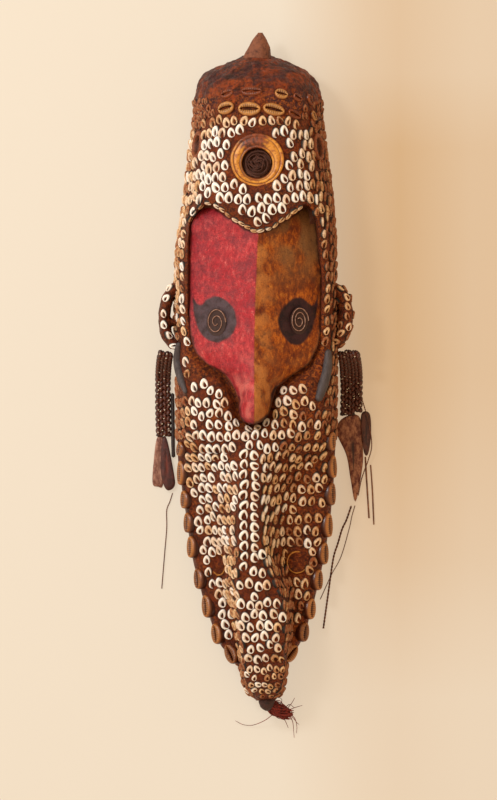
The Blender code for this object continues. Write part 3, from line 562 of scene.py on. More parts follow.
def add_camera():
    """A camera straight above the middle of the picture."""
    middle = Vector(((PICTURE_WIDTH / 2 - ORIGIN[0]) * PIXEL, (ORIGIN[1] - PICTURE_HEIGHT / 2) * PIXEL, 0)) * MM
    data = bpy.data.cameras.new("camera")
    camera = bpy.data.objects.new("camera", data)
    bpy.context.scene.collection.objects.link(camera)
    bpy.context.scene.camera = camera
    camera.location = middle + Vector((0, 0, CAMERA_HEIGHT))
    data.sensor_width = 36
    data.lens = 36 * (CAMERA_HEIGHT - SCALE_LEVEL) / (PICTURE_HEIGHT * PIXEL * MM)
    bpy.context.scene.view_settings.view_transform = "Standard"


def add_lights():
    """A large soft light and a smaller one from the upper left, and a warm even room."""
    for name, place, power, size, colour in (
        ("key", (-1.2, 0.65, 1.25), 16, 2.0, (0.86, 0.94, 1.0)),
        ("relief", (-0.8, 0.75, 1.5), 10.5, 0.3, (0.92, 0.96, 1.0)),
    ):
        light = bpy.data.lights.new(name, "AREA")
        light.energy = power
        light.size = size
        light.color = colour
        lamp = bpy.data.objects.new(name, light)
        lamp.location = place
        lamp.rotation_euler = (Vector((0, 0, 0.03)) - Vector(place)).to_track_quat("-Z", "Y").to_euler()
        bpy.context.scene.collection.objects.link(lamp)
    world = bpy.data.worlds.new("room")
    world.use_nodes = True
    world.node_tree.nodes["Background"].inputs["Color"].default_value = (1, 0.72, 0.45, 1)
    world.node_tree.nodes["Background"].inputs["Strength"].default_value = 0.8
    bpy.context.scene.world = world


def add_floor():
    """A pale floor with a soft band of painted shade on the right, and a painted glow that keeps its shadows light."""
    paint = Paint("pale_wall", 0.9)
    across, up = (paint.node("SeparateXYZ", out=k, Vector=paint.place) for k in (0, 1))
    # painted shade: a soft darker band on the right of the mask, faded towards the top and bottom
    band = (0.52, 0.0), (0.568, 0.5), (0.6, 0.83), (0.633, 1.0), (0.7, 0.72)
    ends = (0.2, 0.28), (0.27, 0.48), (0.33, 0.7), (0.5, 1.0), (0.71, 1.0), (0.78, 0.7)
    shade = paint.ramp(paint.sum("ADD", across, 0.5), *band)
    low = paint.ramp(paint.sum("ADD", up, 0.5), *ends)
    shade = paint.sum("MULTIPLY", shade, low)
    tone = paint.mix(paint.noise(60, 5), srgb(141, 136, 126), srgb(139, 134, 124))
    tone = paint.mix(shade, tone, srgb(134, 117, 94))
    # painted light: the floor glows, less in the painted shade band, so its shadows stay light
    glow = paint.mix(shade, srgb(243, 226, 203), srgb(214, 174, 129))
    paint.put(paint.shader.inputs["Emission Color"], glow)
    paint.shader.inputs["Emission Strength"].default_value = 0.65
    mesh = bpy.data.meshes.new("floor")
    mesh.from_pydata([(-4, -4, 0), (4, -4, 0), (4, 4, 0), (-4, 4, 0)], [], [(0, 1, 2, 3)])
    mesh.materials.append(paint.finish(tone))
    floor = bpy.data.objects.new("floor", mesh)
    bpy.context.scene.collection.objects.link(floor)


def paste_paint():
    """Dark brown paste: lumpy, cracked, redder on the crown, with ochre dust, and painted shade in its pits and sunk
    rooms.
    """
    paint = Paint("dark_paste_skin", 0.75, Specular_IOR_Level=0.25)
    dust, red = paint.value("dust"), paint.value("red")
    base = paint.mix(paint.ramp(paint.noise(7, 6), (0.36, 0.0), (0.62, 1.0)), srgb(48, 18, 9), srgb(118, 46, 15))
    worn = paint.ramp(paint.noise(9, 6, rough=0.7), (0.4, 0.0), (0.56, 1.0))
    base = paint.mix(paint.sum("MULTIPLY", red, worn), base, srgb(154, 64, 22))
    smoke = paint.ramp(paint.noise(19, 5), (0.44, 0.0), (0.54, 0.9))
    base = paint.mix(paint.sum("MULTIPLY", red, smoke), base, srgb(64, 32, 38))
    grains = paint.ramp(paint.noise(2.8, 6, rough=0.75), (0.47, 0.0), (0.6, 1.0))
    base = paint.mix(paint.sum("MULTIPLY", dust, grains), base, srgb(178, 92, 30))
    pits = paint.noise(3.2, 6, rough=0.75)
    # painted shade: the low spots of the pitted bump are darkened
    base = paint.mix(paint.ramp(pits, (0.34, 0.9), (0.5, 0.0)), base, srgb(30, 11, 7))
    # painted shade in the sunk rooms and between the knobs of the crown
    base = paint.mix(paint.value("deep"), base, srgb(40, 18, 11))
    rough = paint.bump(paint.noise(1.6, 5, rough=0.7), 0.7, 0.9)
    dull = paint.ramp(paint.noise(5), (0.35, 0.38), (0.65, 0.72))
    return paint.finish(base, paint.bump(pits, 1.8, 0.9, rough), dull)


def face_paint():
    """Red on the left of the ridge and ochre on the right, with dark eye patches, speckles, rubbed edges, real dark
    patches on the ochre and painted shade just inside its edge.
    """
    paint = Paint("painted_face", 0.62, Specular_IOR_Level=0.25)
    red = paint.mix(paint.ramp(paint.noise(26, 4), (0.36, 0.0), (0.64, 1.0)), srgb(178, 38, 48), srgb(202, 70, 70))
    streaks = paint.noise(3.4, 6, stretch=(1, 0.45, 1), rough=0.78)
    red = paint.mix(paint.ramp(streaks, (0.4, 0.9), (0.54, 0.0)), red, srgb(150, 32, 42))
    red = paint.mix(paint.ramp(streaks, (0.56, 0.0), (0.7, 0.8)), red, srgb(226, 122, 114))
    red = paint.mix(paint.ramp(paint.noise(13, 7, rough=0.85), (0.45, 0.0), (0.58, 0.8)), red, srgb(122, 40, 50))
    red = paint.mix(paint.value("rubbed"), red, srgb(220, 120, 110))
    ochre = paint.mix(paint.ramp(paint.noise(24, 5), (0.38, 0.0), (0.62, 1.0)), srgb(122, 50, 4), srgb(176, 88, 16))
    ochre = paint.mix(paint.ramp(streaks, (0.4, 0.9), (0.54, 0.0)), ochre, srgb(84, 30, 8))
    ochre = paint.mix(paint.ramp(streaks, (0.54, 0.0), (0.68, 0.8)), ochre, srgb(206, 128, 44))
    ochre = paint.mix(paint.value("rubbed"), ochre, srgb(186, 118, 58))
    ochre = paint.mix(paint.value("grey"), ochre, srgb(126, 88, 50))
    both = paint.mix(paint.value("side"), red, ochre)
    grey = paint.mix(paint.ramp(paint.noise(10, 5), (0.4, 0.0), (0.6, 1.0)), srgb(54, 40, 42), srgb(80, 64, 70))
    black = paint.mix(paint.ramp(paint.noise(10, 5), (0.4, 0.0), (0.6, 1.0)), srgb(26, 10, 14), srgb(52, 26, 30))
    patch = paint.mix(paint.value("side"), grey, black)
    both = paint.mix(paint.value("patch"), both, patch)
    specks = paint.ramp(paint.noise(1.1, 3, rough=0.8), (0.55, 0.0), (0.66, 0.8))
    smudge = paint.ramp(paint.noise(22, 7, rough=0.8), (0.55, 0.0), (0.64, 0.6))
    both = paint.mix(paint.sum("MULTIPLY", smudge, paint.value("side")), both, srgb(70, 40, 28))
    both = paint.mix(specks, both, srgb(70, 22, 18))
    # painted shade just inside the face's visible edge, with real dark patches on the ochre side
    both = paint.mix(paint.value("dark"), both, srgb(48, 20, 14))
    fine = paint.bump(paint.noise(1.2, 5, rough=0.7), 0.4, 0.8)
    dull = paint.ramp(paint.noise(6), (0.3, 0.4), (0.7, 0.66))
    return paint.finish(both, paint.bump(streaks, 1.0, 0.6, fine), dull)


def shell_paint():
    """White glossy callus, painted shade in its opening and round its foot, and brown staining where the paste and dust
    have caught, mixed with painted shade on the right.
    """
    paint = Paint("nassa_shell", 0.26)
    stain, dark = paint.value("stain"), paint.value("dark")
    base = paint.mix(paint.noise(3, 3), srgb(255, 254, 252), srgb(250, 238, 222))
    patches = paint.ramp(paint.noise(3.0, 5, rough=0.7), (0.4, 0.0), (0.58, 1.0))
    # the stained browns carry painted shade as well, stronger on the right
    base = paint.mix(paint.ramp(stain, (0.15, 0.0), (0.65, 1.0)), base, srgb(240, 204, 152))
    base = paint.mix(paint.sum("MULTIPLY", stain, patches), base, srgb(168, 84, 18))
    base = paint.mix(paint.ramp(stain, (0.6, 0.0), (1.0, 0.75)), base, srgb(126, 54, 12))
    # painted shade: near black round the shell's foot and in its opening
    base = paint.mix(dark, base, srgb(14, 5, 3))
    gloss = paint.ramp(paint.sum("ADD", stain, dark), (0.2, 0.26), (0.8, 0.75))
    return paint.finish(base, paint.bump(paint.noise(1.2, 3), 0.15, 0.4), gloss)


def wood_paint():
    paint = Paint("carved_wood_old", 0.7)
    grain = paint.noise(3, 5, stretch=(1, 0.09, 1), rough=0.65)
    base = paint.mix(grain, srgb(64, 34, 22), srgb(124, 70, 42))
    base = paint.mix(paint.ramp(paint.noise(24, 4), (0.4, 0.0), (0.7, 0.7)), base, srgb(92, 42, 26))
    base = paint.mix(paint.ramp(paint.noise(3, 5), (0.6, 0.0), (0.75, 0.7)), base, srgb(40, 20, 14))
    cuts = paint.bump(paint.cells(14), 1.5, 0.35)
    return paint.finish(base, paint.bump(grain, 0.5, 0.7, cuts))


def cowrie_paint():
    paint = Paint("cowrie_shell_old", 0.3)
    wear, dark = paint.value("wear"), paint.value("dark")
    base = paint.mix(paint.noise(5, 4), srgb(112, 46, 12), srgb(176, 86, 24))
    base = paint.mix(paint.value("pale"), base, srgb(236, 178, 98))
    worn = paint.ramp(paint.noise(4, 5), (0.35, 0.2), (0.6, 1.0))
    base = paint.mix(paint.sum("MULTIPLY", wear, worn), base, srgb(92, 38, 22))
    # painted shade from the rings' dark values
    base = paint.mix(dark, base, srgb(56, 20, 8))
    return paint.finish(base, paint.bump(paint.noise(1.5, 4), 0.2, 0.5))


def plain_paint(name, one, other, size=3.0, depth=0.3, roughness=0.8, stretch=(1, 1, 1), dark=False):
    """Two tones in patches, with bump; with dark, darker where the mesh says, which on plaits, coil strips and ring
    feet is painted shade.
    """
    paint = Paint(name, roughness)
    base = paint.mix(paint.ramp(paint.noise(size, 5, stretch, 0.68), (0.36, 0.0), (0.64, 1.0)), one, other)
    if dark:
        base = paint.mix(paint.value("dark"), base, srgb(34, 17, 13))
    return paint.finish(base, paint.bump(paint.noise(size * 0.4, 4, stretch), depth, 0.8))


def pod_paint(name, base, spots, seam):
    paint = Paint(name, 0.6)
    skin = paint.mix(paint.ramp(paint.noise(3.6, 6, (1, 0.5, 1), 0.75), (0.4, 0.0), (0.58, 1.0)), base, spots)
    skin = paint.mix(paint.value("seam"), skin, seam)
    return paint.finish(skin, paint.bump(paint.noise(1.6, 4), 0.5, 0.7))


def cone_paint():
    """Ochre-yellow shell in bands, with brown in the grooves and paste over part of it."""
    paint = Paint("cone_shell_old", 0.42)
    base = paint.mix(paint.noise(5, 4), srgb(196, 112, 22), srgb(228, 166, 62))
    base = paint.mix(paint.ramp(paint.value("tone"), (0.15, 1.0), (0.7, 0.0)), base, srgb(104, 54, 22))
    base = paint.mix(paint.ramp(paint.noise(4, 5, rough=0.7), (0.48, 0.0), (0.62, 0.8)), base, srgb(140, 66, 16))
    covered = paint.mix(paint.ramp(paint.noise(3, 5), (0.4, 0.0), (0.6, 1.0)), srgb(70, 28, 14), srgb(140, 66, 26))
    base = paint.mix(paint.value("cover"), base, covered)
    return paint.finish(base, paint.bump(paint.noise(1.6, 5), 0.35, 0.7))


def stub_paint():
    """Reddish-brown weathered wood of the stub."""
    paint = Paint("stub_wood", 0.8)
    base = paint.mix(paint.noise(5, 5, stretch=(1, 0.4, 1)), srgb(96, 50, 34), srgb(150, 92, 62))
    base = paint.mix(paint.ramp(paint.noise(4, 5, rough=0.7), (0.5, 0.0), (0.66, 0.8)), base, srgb(60, 28, 20))
    return paint.finish(base, paint.bump(paint.noise(1.8, 5, rough=0.7), 0.6, 0.8))


EDGE_LINE = smooth_line(FACE_EDGE, 260, closed=True)
# Rooms sunk into the paste: centre, facing, outer radius, radius and depth of the inner hole.
RECESSES = [
    (tuple(surface_at(DISC[0], DISC[1])[0] - Vector((0, HOLE_DROP, 0))), (0, 0, 1), 21.5, 13.4, 5.5),
    *((tuple(surface_at(x, y)[0]), tuple(surface_at(x, y)[1]), 8.6, 8.6, 5.0) for x, y in TEMPLE_RINGS.values()),
    *((tuple(surface_at(x, y)[0]), (math.copysign(math.sin(lean), x), 0, math.cos(lean)), 8.2, 8.2, 1.2)
      for x, y, lean in SNOUT_RINGS.values()),
]


def skin_grid():
    """The outer front as a fine grid, and how far each point is from the edge of the face."""
    grid = []
    for y in np.linspace(BODY[0][0], BODY[-1][0], SKIN_ROWS):
        x, z = section(y, 721)
        run = np.concatenate([[0], np.cumsum(np.hypot(np.diff(x), np.diff(z)))])
        stops = np.linspace(0, run[-1], SKIN_COLUMNS)
        row = np.interp(stops, run, x), np.full(SKIN_COLUMNS, y), np.interp(stops, run, z)
        grid.append(np.stack(row, axis=-1))
    grid = np.array(grid)
    x, y = grid[..., 0].ravel(), grid[..., 1].ravel()
    away = np.full(len(x), 50.0)
    near = (y < 165) & (y > -56) & (grid[..., 2].ravel() > 30)
    away[near] = edge_distance(EDGE_LINE, x[near], y[near])
    away = away.reshape(grid.shape[:2])
    return grid, away


def normals_of(grid):
    down, over = np.gradient(grid, axis=0), np.gradient(grid, axis=1)
    normal = np.cross(down, over)
    normal /= np.maximum(np.linalg.norm(normal, axis=2, keepdims=True), 1e-9)
    return normal * np.sign(normal[:, grid.shape[1] // 2, 2]).mean()


def paste_skin(material):
    """The paste covering: a lumpy skin with a rough crown, a rounded lip at the face and a skirt."""
    grid, away = skin_grid()
    normal = normals_of(grid)
    y = grid[..., 1]
    crown = ease(y, 236, 250)
    rough = 1.5 * lumps(grid, 18, 2) + 1.6 * np.abs(lumps(grid, 9, 3)) + 0.8 * lumps(grid, 5, 4)
    lump = 0.45 * lumps(grid, 9) + 0.25 * lumps(grid, 3.5, 1) + crown * rough
    dome = ease(y, 262, 271)
    knobs = np.abs(lumps(grid, 8, 22))
    lump += dome * (1.0 * lumps(grid, 13, 21) + 1.3 * knobs)
    grid = grid + normal * lump[..., None]
    low = ease(-y, -34, -6)
    inside = ease(-away, -1.0, 1.0)
    face = np.array([face_height(row[:, 0], row[0, 1]) for row in grid])
    grid[..., 2] += inside * (np.minimum(grid[..., 2], face - 5) - grid[..., 2])
    grid[..., 2] -= 1.8 * (1 - low) * np.clip(1 - away / 4, 0, 1) ** 2 * (away > 0)
    # painted shade: darker inside the deeper sunk rooms and between the knobs of the crown
    deep = np.zeros(y.shape)
    for place, facing, outer, inner, depth in RECESSES:
        reach = np.linalg.norm(grid - np.array(place), axis=-1)
        sink = 1.8 * (1 - ease(reach, outer - 1.5, outer)) * (outer > inner)
        sink = sink + depth * (1 - ease(reach, inner - 1, inner + 0.5))
        grid = grid - np.array(facing) * sink[..., None]
        deep = np.maximum(deep, (depth > 2) * (1 - ease(reach, inner - 1, inner + 1)))
    normal = normals_of(grid)

    deep = np.maximum(deep, 0.7 * dome * (1 - ease(knobs, 0.0, 0.16)))
    right = ease(grid[..., 0], 5, 60)
    brow = ease(y, 226, 238) * (1 - ease(y, 250, 264))
    grid = grid + normal * (brow * 1.5 * np.abs(lumps(grid, 7, 6)))[..., None]
    caught = 0.42 + 0.34 * right + 0.35 * lumps(grid, 28, 5) + 0.45 * brow - 0.25 * ease(y, 256, 268)
    caught = caught + 0.35 * (away > 0) * (1 - ease(away, 8, 18)) * (y < 60)
    dust = (0.45 + 0.55 * ease(normal[..., 2], 0.2, 0.8)) * np.clip(caught, 0, 1)
    red = np.clip(crown * 0.9 + 0.15, 0, 1)
    rows, columns = grid.shape[:2]
    skirts = []
    for column, inward in ((0, 1), (-1, -1)):
        skirts.append(grid[:, column] + np.array([5.6 * inward, 0, 0.0]))
    wide = np.concatenate([skirts[0][:, None], grid, skirts[1][:, None]], axis=1)
    ends = []
    for row, step in ((0, 0.5), (-1, -0.5)):
        end = wide[row].copy()
        end[:, 1] += step
        end[:, 2] = end[:, 2].min()
        ends.append(end)
    wide = np.concatenate([ends[0][None], wide, ends[1][None]], axis=0)
    pad = ((1, 1), (1, 1))
    obj = piece(
        "paste_skin", wide.reshape(-1, 3), grid_faces(rows + 2, columns + 2), [material],
        {
            "dust": np.pad(dust, pad, "edge").ravel(), "red": np.pad(red, pad, "edge").ravel(),
            "deep": np.pad(deep, pad, "edge").ravel(),
        },
    )
    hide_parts("paste_covering")
    return grid, normal, away


def face_front(material):
    """The painted face, just proud of the carved one, with a skirt round its edge."""
    rows = np.linspace(155, -45.6, 252)
    side = np.linspace(-1, 1, 161)
    grid, across = [], []
    for y in rows:
        left, right, line, top, edge, roundness = curve(FACE, y)
        if y < -44.7:
            left, right = line + (left - line) * 0.6, line + (right - line) * 0.6
        x = np.where(side < 0, line + (line - left) * side, line + (right - line) * side)
        z = top - (top - edge) * np.abs(side) ** roundness + FACE_PROUD
        z = z + 1.1 * ease(-y, -16, -4) + 1.4 * ease(y, 122, 140)
        grid.append(np.stack([x, np.full_like(x, y), z], axis=-1))
        across.append(x - line)
    grid = np.array(grid)
    across = np.array(across)
    x, y = grid[..., 0].ravel(), grid[..., 1].ravel()
    patch = np.zeros(len(x))
    for outline in EYE_PATCHES:
        away = edge_distance(smooth_line(outline, 60, closed=True), x, y)
        patch = np.maximum(patch, 1 - ease(away + 0.7 * lumps(grid, 6, 7).ravel(), -1.0, 1.0))
    shape = grid.shape[:2]
    patch = patch.reshape(shape)
    grid[..., 2] += 0.25 * lumps(grid, 7, 8) + 0.12 * lumps(grid, 2.5, 9)
    for ex, ey, wide, tall, _ in EYE_COILS.values():
        ring = np.hypot((grid[..., 0] - ex) / (wide + 1.5), (grid[..., 1] - ey) / (tall + 1.5))
        grid[..., 2] -= 0.8 * (1 - ease(ring, 0.7, 1.1))
    rim = 1 - np.abs(side)[None] * np.ones(shape)
    seen = edge_distance(EDGE_LINE, x, y).reshape(shape)
    rubbed = 0.55 * ease(-grid[..., 1], -30, 10) * ease(lumps(grid, 9, 11), -0.2, 0.6)
    rubbed = rubbed + 0.6 * (1 - ease(rim, 0.0, 0.06)) * ease(-grid[..., 1], -60, 0)
    patchy = ease(lumps(grid, 10, 14), -0.4, 0.3)
    rubbed = rubbed + 0.7 * ease(across, 0, 1) * (1 - ease(across, 4, 26)) * patchy
    values = {
        "side": ease(across + 0.5 * lumps(grid, 3, 10), -0.5, 0.5),
        "patch": patch,
        "grey": 0.85 * ease(x, 4, 30).reshape(shape) * ease(y, 66, 120).reshape(shape)
                * ease(lumps(grid, 18, 15), -0.5, 0.2),
        "rubbed": np.clip(rubbed, 0, 0.8),
        # dark: painted shade along the visible edge where the paste meets the face, plus real dark patches on the ochre
        # side
        "dark": np.clip(0.85 * (1 - ease(-seen + 1.2 * lumps(grid, 5, 12), 0.2, 2.6)), 0, 1)
                + 0.35 * ease(lumps(grid, 14, 13), 0.2, 0.7) * ease(across, 0, 8),
    }
    skirt = [grid[:, 0] + np.array([-0.2, 0, -17.0]), grid[:, -1] + np.array([0.2, 0, -17.0])]
    wide = np.concatenate([skirt[0][:, None], grid, skirt[1][:, None]], axis=1)
    end = wide[-1] + np.array([0, -0.4, 0])
    end[:, 2] = wide[-1, :, 2].min() - 4
    wide = np.concatenate([wide, end[None]], axis=0)
    values = {key: np.pad(numbers, ((0, 1), (1, 1)), "edge").ravel() for key, numbers in values.items()}
    piece("painted_face", wide.reshape(-1, 3), grid_faces(*wide.shape[:2]), [material], values)


def strands(path, diameter, count, pitch, radius, sides=6, step=0.55):
    """Strands round a path: three are plaited flat and bulge at the edges, two are twisted."""
    line = smooth_line(path, max(30, int(length_of(path) / step)))
    run = np.linspace(0, length_of(line), len(line))
    along = np.gradient(line, axis=0)
    along /= np.linalg.norm(along, axis=1, keepdims=True)
    across = np.array([1.0, 0, 0]) - along * along[:, :1]
    across /= np.linalg.norm(across, axis=1, keepdims=True)
    up = np.cross(across, along)
    made = []
    for k in range(count):
        turn = 2 * math.pi * (run / pitch + k / count)
        reach = diameter / 2 - radius
        if count == 3:
            one, other = reach * np.sin(turn), reach * 0.62 * np.sin(2 * turn)
            thick = radius * (0.72 + 0.5 * np.sin(turn) ** 2)
        else:
            one, other = reach * np.sin(turn), reach * np.cos(turn)
            thick = radius
        made.append(tube_mesh(line + across * one[:, None] + up * other[:, None], thick, sides))
    return line, made


def bead(place, size):
    """A tiny round bead as a short barrel."""
    rings = [(-0.5, 0.45), (-0.2, 0.95), (0.2, 0.95), (0.5, 0.45)]
    line = [place + np.array([0, size * a, 0]) for a, _ in rings]
    return tube_mesh(line, [size * b for _, b in rings], 8)


def cords(fibre, strap, bead_white, sticks):
    """Braids with white beads, a strap, twisted strings and two sticks, all along their real routes."""
    chance = random.Random(4)
    for name, (path, diameter) in CORDS.items():
        kind = name.split("_")[0]
        if kind == "braid":
            line, made = strands(path, diameter + BRAID_PLUMP, 3, BRAID_TURN, BRAID_STRAND, 8)
            count = len(made)
            for spot in line[4:-2:5]:
                if chance.random() < 0.6:
                    shift = [chance.uniform(*span) for span in ((-2.6, 2.6), (-1, 1), (2.4, 3.3))]
                    made.append(bead(spot + shift, BEAD))
            sizes = [len(faces) for _, faces in made]
            points, faces = joined(made)
            which = np.concatenate([np.full(n, 0 if k < count else 1) for k, n in enumerate(sizes)])
            # painted shade: the plait darkens where its strands dip low and stays light on their tops
            height = points[:, 2] - np.interp(-points[:, 1], -line[:, 1], line[:, 2])
            dark = 0.85 * (1 - ease(height, 0.4, 2.2))
            paints = [fibre, bead_white]
            obj = piece(name + "_plait", points, faces, paints, {"dark": dark}, which)
        elif kind == "string":
            line, made = strands(path, diameter, 2, diameter * STRING_TURN, diameter * STRING_STRAND, 5, 0.35)
            points, faces = joined(made)
            which = np.repeat([0, 1], [len(quads) for _, quads in made])
            obj = piece(name + "_twist", points, faces, [fibre, sticks], which=which)
        else:
            line = smooth_line(path, 40)
            radius = diameter / 2 * (1 + 0.12 * lumps(line, 4, 3))
            points, faces = tube_mesh(line, radius, 10, flat=0.55 if kind == "strap" else 1.0)
            obj = piece(name + "_body", points, faces, [strap if kind == "strap" else sticks])
        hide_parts(name)
        length_of(line) * MM


def pod(name, material):
    """A dry pod, thin at its rim, with a seam down its middle and a puckered skin."""
    outline, low, high = PODS[name]
    ring = smooth_line(outline, 64, closed=True)
    centre = ring.mean(axis=0)
    levels = [
        (0.8, 0.0), (0.97, 0.15), (1.0, 0.5), (0.95, 0.85), (0.8, 0.97),
        (0.6, 1.0), (0.4, 1.02), (0.2, 1.0), (0.02, 0.94),
    ]
    points, seam = [], []
    for size, up in levels:
        x = centre[0] + (ring[:, 0] - centre[0]) * size
        y = centre[1] + (ring[:, 1] - centre[1]) * (1 - (1 - size) * 0.75)
        z = low + (high - low) * up + 0 * x
        points.append(np.stack([x, y, z], axis=-1))
        seam.append(np.full(len(ring), ease(1 - size, 0.75, 0.95)))
    points = np.array(points)
    points[3:, :, 2] += 0.35 * lumps(points[3:], 4, 2) + 0.15 * lumps(points[3:], 1.5, 4)
    points[..., 2] = np.clip(points[..., 2], 0.1, None)
    faces = grid_faces(len(levels), 64, around=True) + [tuple(range(64))] + [tuple(range(8 * 64, 9 * 64))]
    values = {"seam": np.array(seam).ravel()}
    obj = piece(name + "_skin", points.reshape(-1, 3), faces, [material], values)
    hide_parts(name)
    return obj


def shell_form(gap, opening):
    """A small shell, 1 long with its apex at +y: points, faces and how dark each point is, the darkness being painted
    shade round its foot and in its opening.
    """
    sides = 16
    turn = circle(sides)
    outline = np.stack([0.38 * np.cos(turn) * (1 - 0.18 * np.sin(turn)), 0.5 * np.sin(turn)], axis=-1)
    hole = np.stack([
        0.08 + 0.135 * opening * np.cos(turn) * (1 - 0.5 * np.sin(turn)) - 0.05 * np.sin(turn),
        -0.13 + 0.25 * opening * np.sin(turn),
    ], axis=-1)
    bend = (turn + 1.0 + math.pi) % (2 * math.pi) - math.pi
    open_side = gap * np.exp(-((bend / 0.6) ** 2))
    thick = 1 + 0.35 * np.cos(turn - 2.4)
    rings, dark = [], []
    # shade column: painted shade at the foot, where the shell meets the paste, and in the opening
    for blend, high, shade in (
        (0, -0.14, 1.0), (0, 0.0, 1.0), (0.05, 0.1, 0.9), (0.16, 0.19, 0.1), (0.4, 0.25, 0),
        (0.7, 0.25, 0), (0.9, 0.17, 0.1), (1, 0.03, 1.0),
    ):
        flat = outline * (1 - blend) + hole * blend
        z = np.where(high > 0, high * thick * (1 - 0.85 * open_side), high)
        rings.append(np.column_stack([flat, z]))
        dark.append(np.maximum(shade, open_side))
    for size, high in ((0.85, -0.08), (0.4, -0.12)):
        middle = hole.mean(axis=0)
        rings.append(np.column_stack([middle + (hole - middle) * size, np.full(sides, high)]))
        dark.append(np.ones(sides))
    points = np.vstack([np.vstack(rings), [[0.07, -0.12, -0.13]]])
    faces = grid_faces(len(rings), sides, around=True)
    last = (len(rings) - 1) * sides
    faces += [(last + k, last + (k + 1) % sides, last + sides) for k in range(sides)]
    return points, faces, np.append(np.concatenate(dark), 1.0)


def stain_and_shade_at(place, normal):
    """How stained a small shell is: more so on steep sides and at both ends, and towards the right, where part of it is
    painted shade.
    """
    x, y = place[0], place[1]
    stain = 0.06 + 0.62 * (1 - ease(float(normal[2]), 0.15, 0.8))
    # towards the right: real staining mixed with painted shade of the mask's shaded side
    stain += 0.5 * ease(x, 22, 62) if y > 130 else 0.62 * ease(x, -4, 40)
    stain += 0.5 * ease(-x, 52, 63) * (y < 20)
    return stain + (0.9 * ease(y, 222, 240) + 0.3 * ease(-y, 250, 275))


def shell_size(y):
    """Length of the small shells at y, smaller at both ends of the mask."""
    if y > 236:
        return 7.2
    if y < -262:
        return 7.6
    return 10.9 if 120 < y < 215 else 10.4


def area_of(place):
    """The piece that a small shell at a place belongs to."""
    if place[1] > 128:
        return "crown"
    if place[1] < -40:
        return "snout" if place[1] < -170 else "beard"
    return "left" if place[0] < 0 else "right"


class Shells:
    """Small shells laid one by one, each clear of those before it."""

    def __init__(self, grid, normal, away):
        self.grid, self.normal, self.away = grid, normal, away
        self.centres = np.zeros((0, 3))
        self.laid = []
        self.chance = random.Random(11)

    def near(self, x, y):
        """Row and column of the skin at x, y."""
        i = int(np.abs(self.grid[:, MIDDLE, 1] - y).argmin())
        return i, int(np.abs(self.grid[i, :, 0] - x).argmin())

    def clear(self, place, along, across, length, width):
        if not len(self.centres):
            return True
        gap = self.centres - place
        a, b = gap @ along, gap @ across
        rest = (gap**2).sum(axis=1) - a**2 - b**2
        return bool(((a / length) ** 2 + (b / width) ** 2 + rest / width**2 > 1).all())

    def add(
        self, place, normal, heading, length, width, spacing, area,
        stain=None, turn=0.22, form=None, solid=True,
    ):
        """Lays a shell whose apex points to heading, unless another is too near."""
        normal = np.asarray(normal, float)
        angle = self.chance.gauss(0, turn)
        along = np.asarray(heading, float) - normal * float(np.dot(heading, normal))
        along /= np.linalg.norm(along)
        across = np.cross(along, normal)
        along = along * math.cos(angle) + across * math.sin(angle)
        across = np.cross(along, normal)
        if not self.clear(place, along, across, length * 1.04 * spacing, length * 0.84 * spacing):
            return
        lean = normal + along * self.chance.gauss(0, 0.10) + across * self.chance.gauss(0, 0.12)
        lean /= np.linalg.norm(lean)
        across = np.cross(along, lean)
        across /= np.linalg.norm(across)
        along = np.cross(lean, across)
        if stain is None:
            stain = stain_and_shade_at(place, normal)
        stain = float(np.clip(stain + self.chance.gauss(0, 0.2), 0, 1))
        size = length * self.chance.uniform(0.9, 1.06)
        form = self.chance.choice((0, 0, 1, 1, 2, 3)) if form is None else form
        place = place - normal * SHELL_SINK
        wide = width * self.chance.uniform(0.92, 1.08) / 0.8
        self.laid.append((area, place, along, across, lean, size, wide, form, stain))
        if solid:
            self.centres = np.vstack([self.centres, place])

    def build(self, material):
        forms = [shell_form(0, 0.85), shell_form(0, 1.05), shell_form(0.7, 1.05), shell_form(1.0, 1.3)]
        for area in sorted({entry[0] for entry in self.laid}):
            points, faces, dark, stain_and_shade_values, count = [], [], [], [], 0
            for _, place, along, across, up, size, wide, form, stain in (e for e in self.laid if e[0] == area):
                shape, quads, shade = forms[form]
                turned = shape[:, :1] * wide * across + shape[:, 1:2] * along + shape[:, 2:] * up
                points.append(place + turned * size)
                faces += [tuple(v + count for v in face) for face in quads]
                count += len(shape)
                dark.append(shade)
                stain_and_shade_values.append(np.full(len(shape), stain))
            piece(
                f"shells_{area}", np.vstack(points), faces, [material],
                {"dark": np.concatenate(dark), "stain": np.concatenate(stain_and_shade_values)},
            )


def bare(x, y):
    """Whether the paste at x, y shows no small shells."""
    if y > SHELLS_TOP or (y > 234 and abs(x - 2) < 33 + (y - 234) * 0.7):
        return True
    left, right = curve(BODY, y)[:2]
    if y < -58 and (x < left + 8 or x > right - 8) and y > -266:
        return True
    spot = np.array([x]), np.array([y])
    if math.hypot(x - DISC[0], y - DISC[1]) < DISC[2] + 4.6:
        return True
    if DISC[1] < y < 232 and abs(x - DISC[0]) < 7 + (y - DISC[1]) * 0.1 and y < DISC[1] + 31:
        return True
    for path, _ in TUSKS.values():
        line = np.array(path, float)
        a, b = line[:-1], line[1:]
        p = np.array([x, y])
        t = np.clip(((p - a) * (b - a)).sum(-1) / ((b - a) ** 2).sum(-1), 0, 1)
        away = np.linalg.norm(p - a - t[:, None] * (b - a), axis=1).min()
        if away < (4.2 if abs(x) > abs(a[:, 0]).max() - 2 else 7.0):
            return True
    return any(edge_distance(outline, *spot)[0] < 1.0 for outline in BARE)


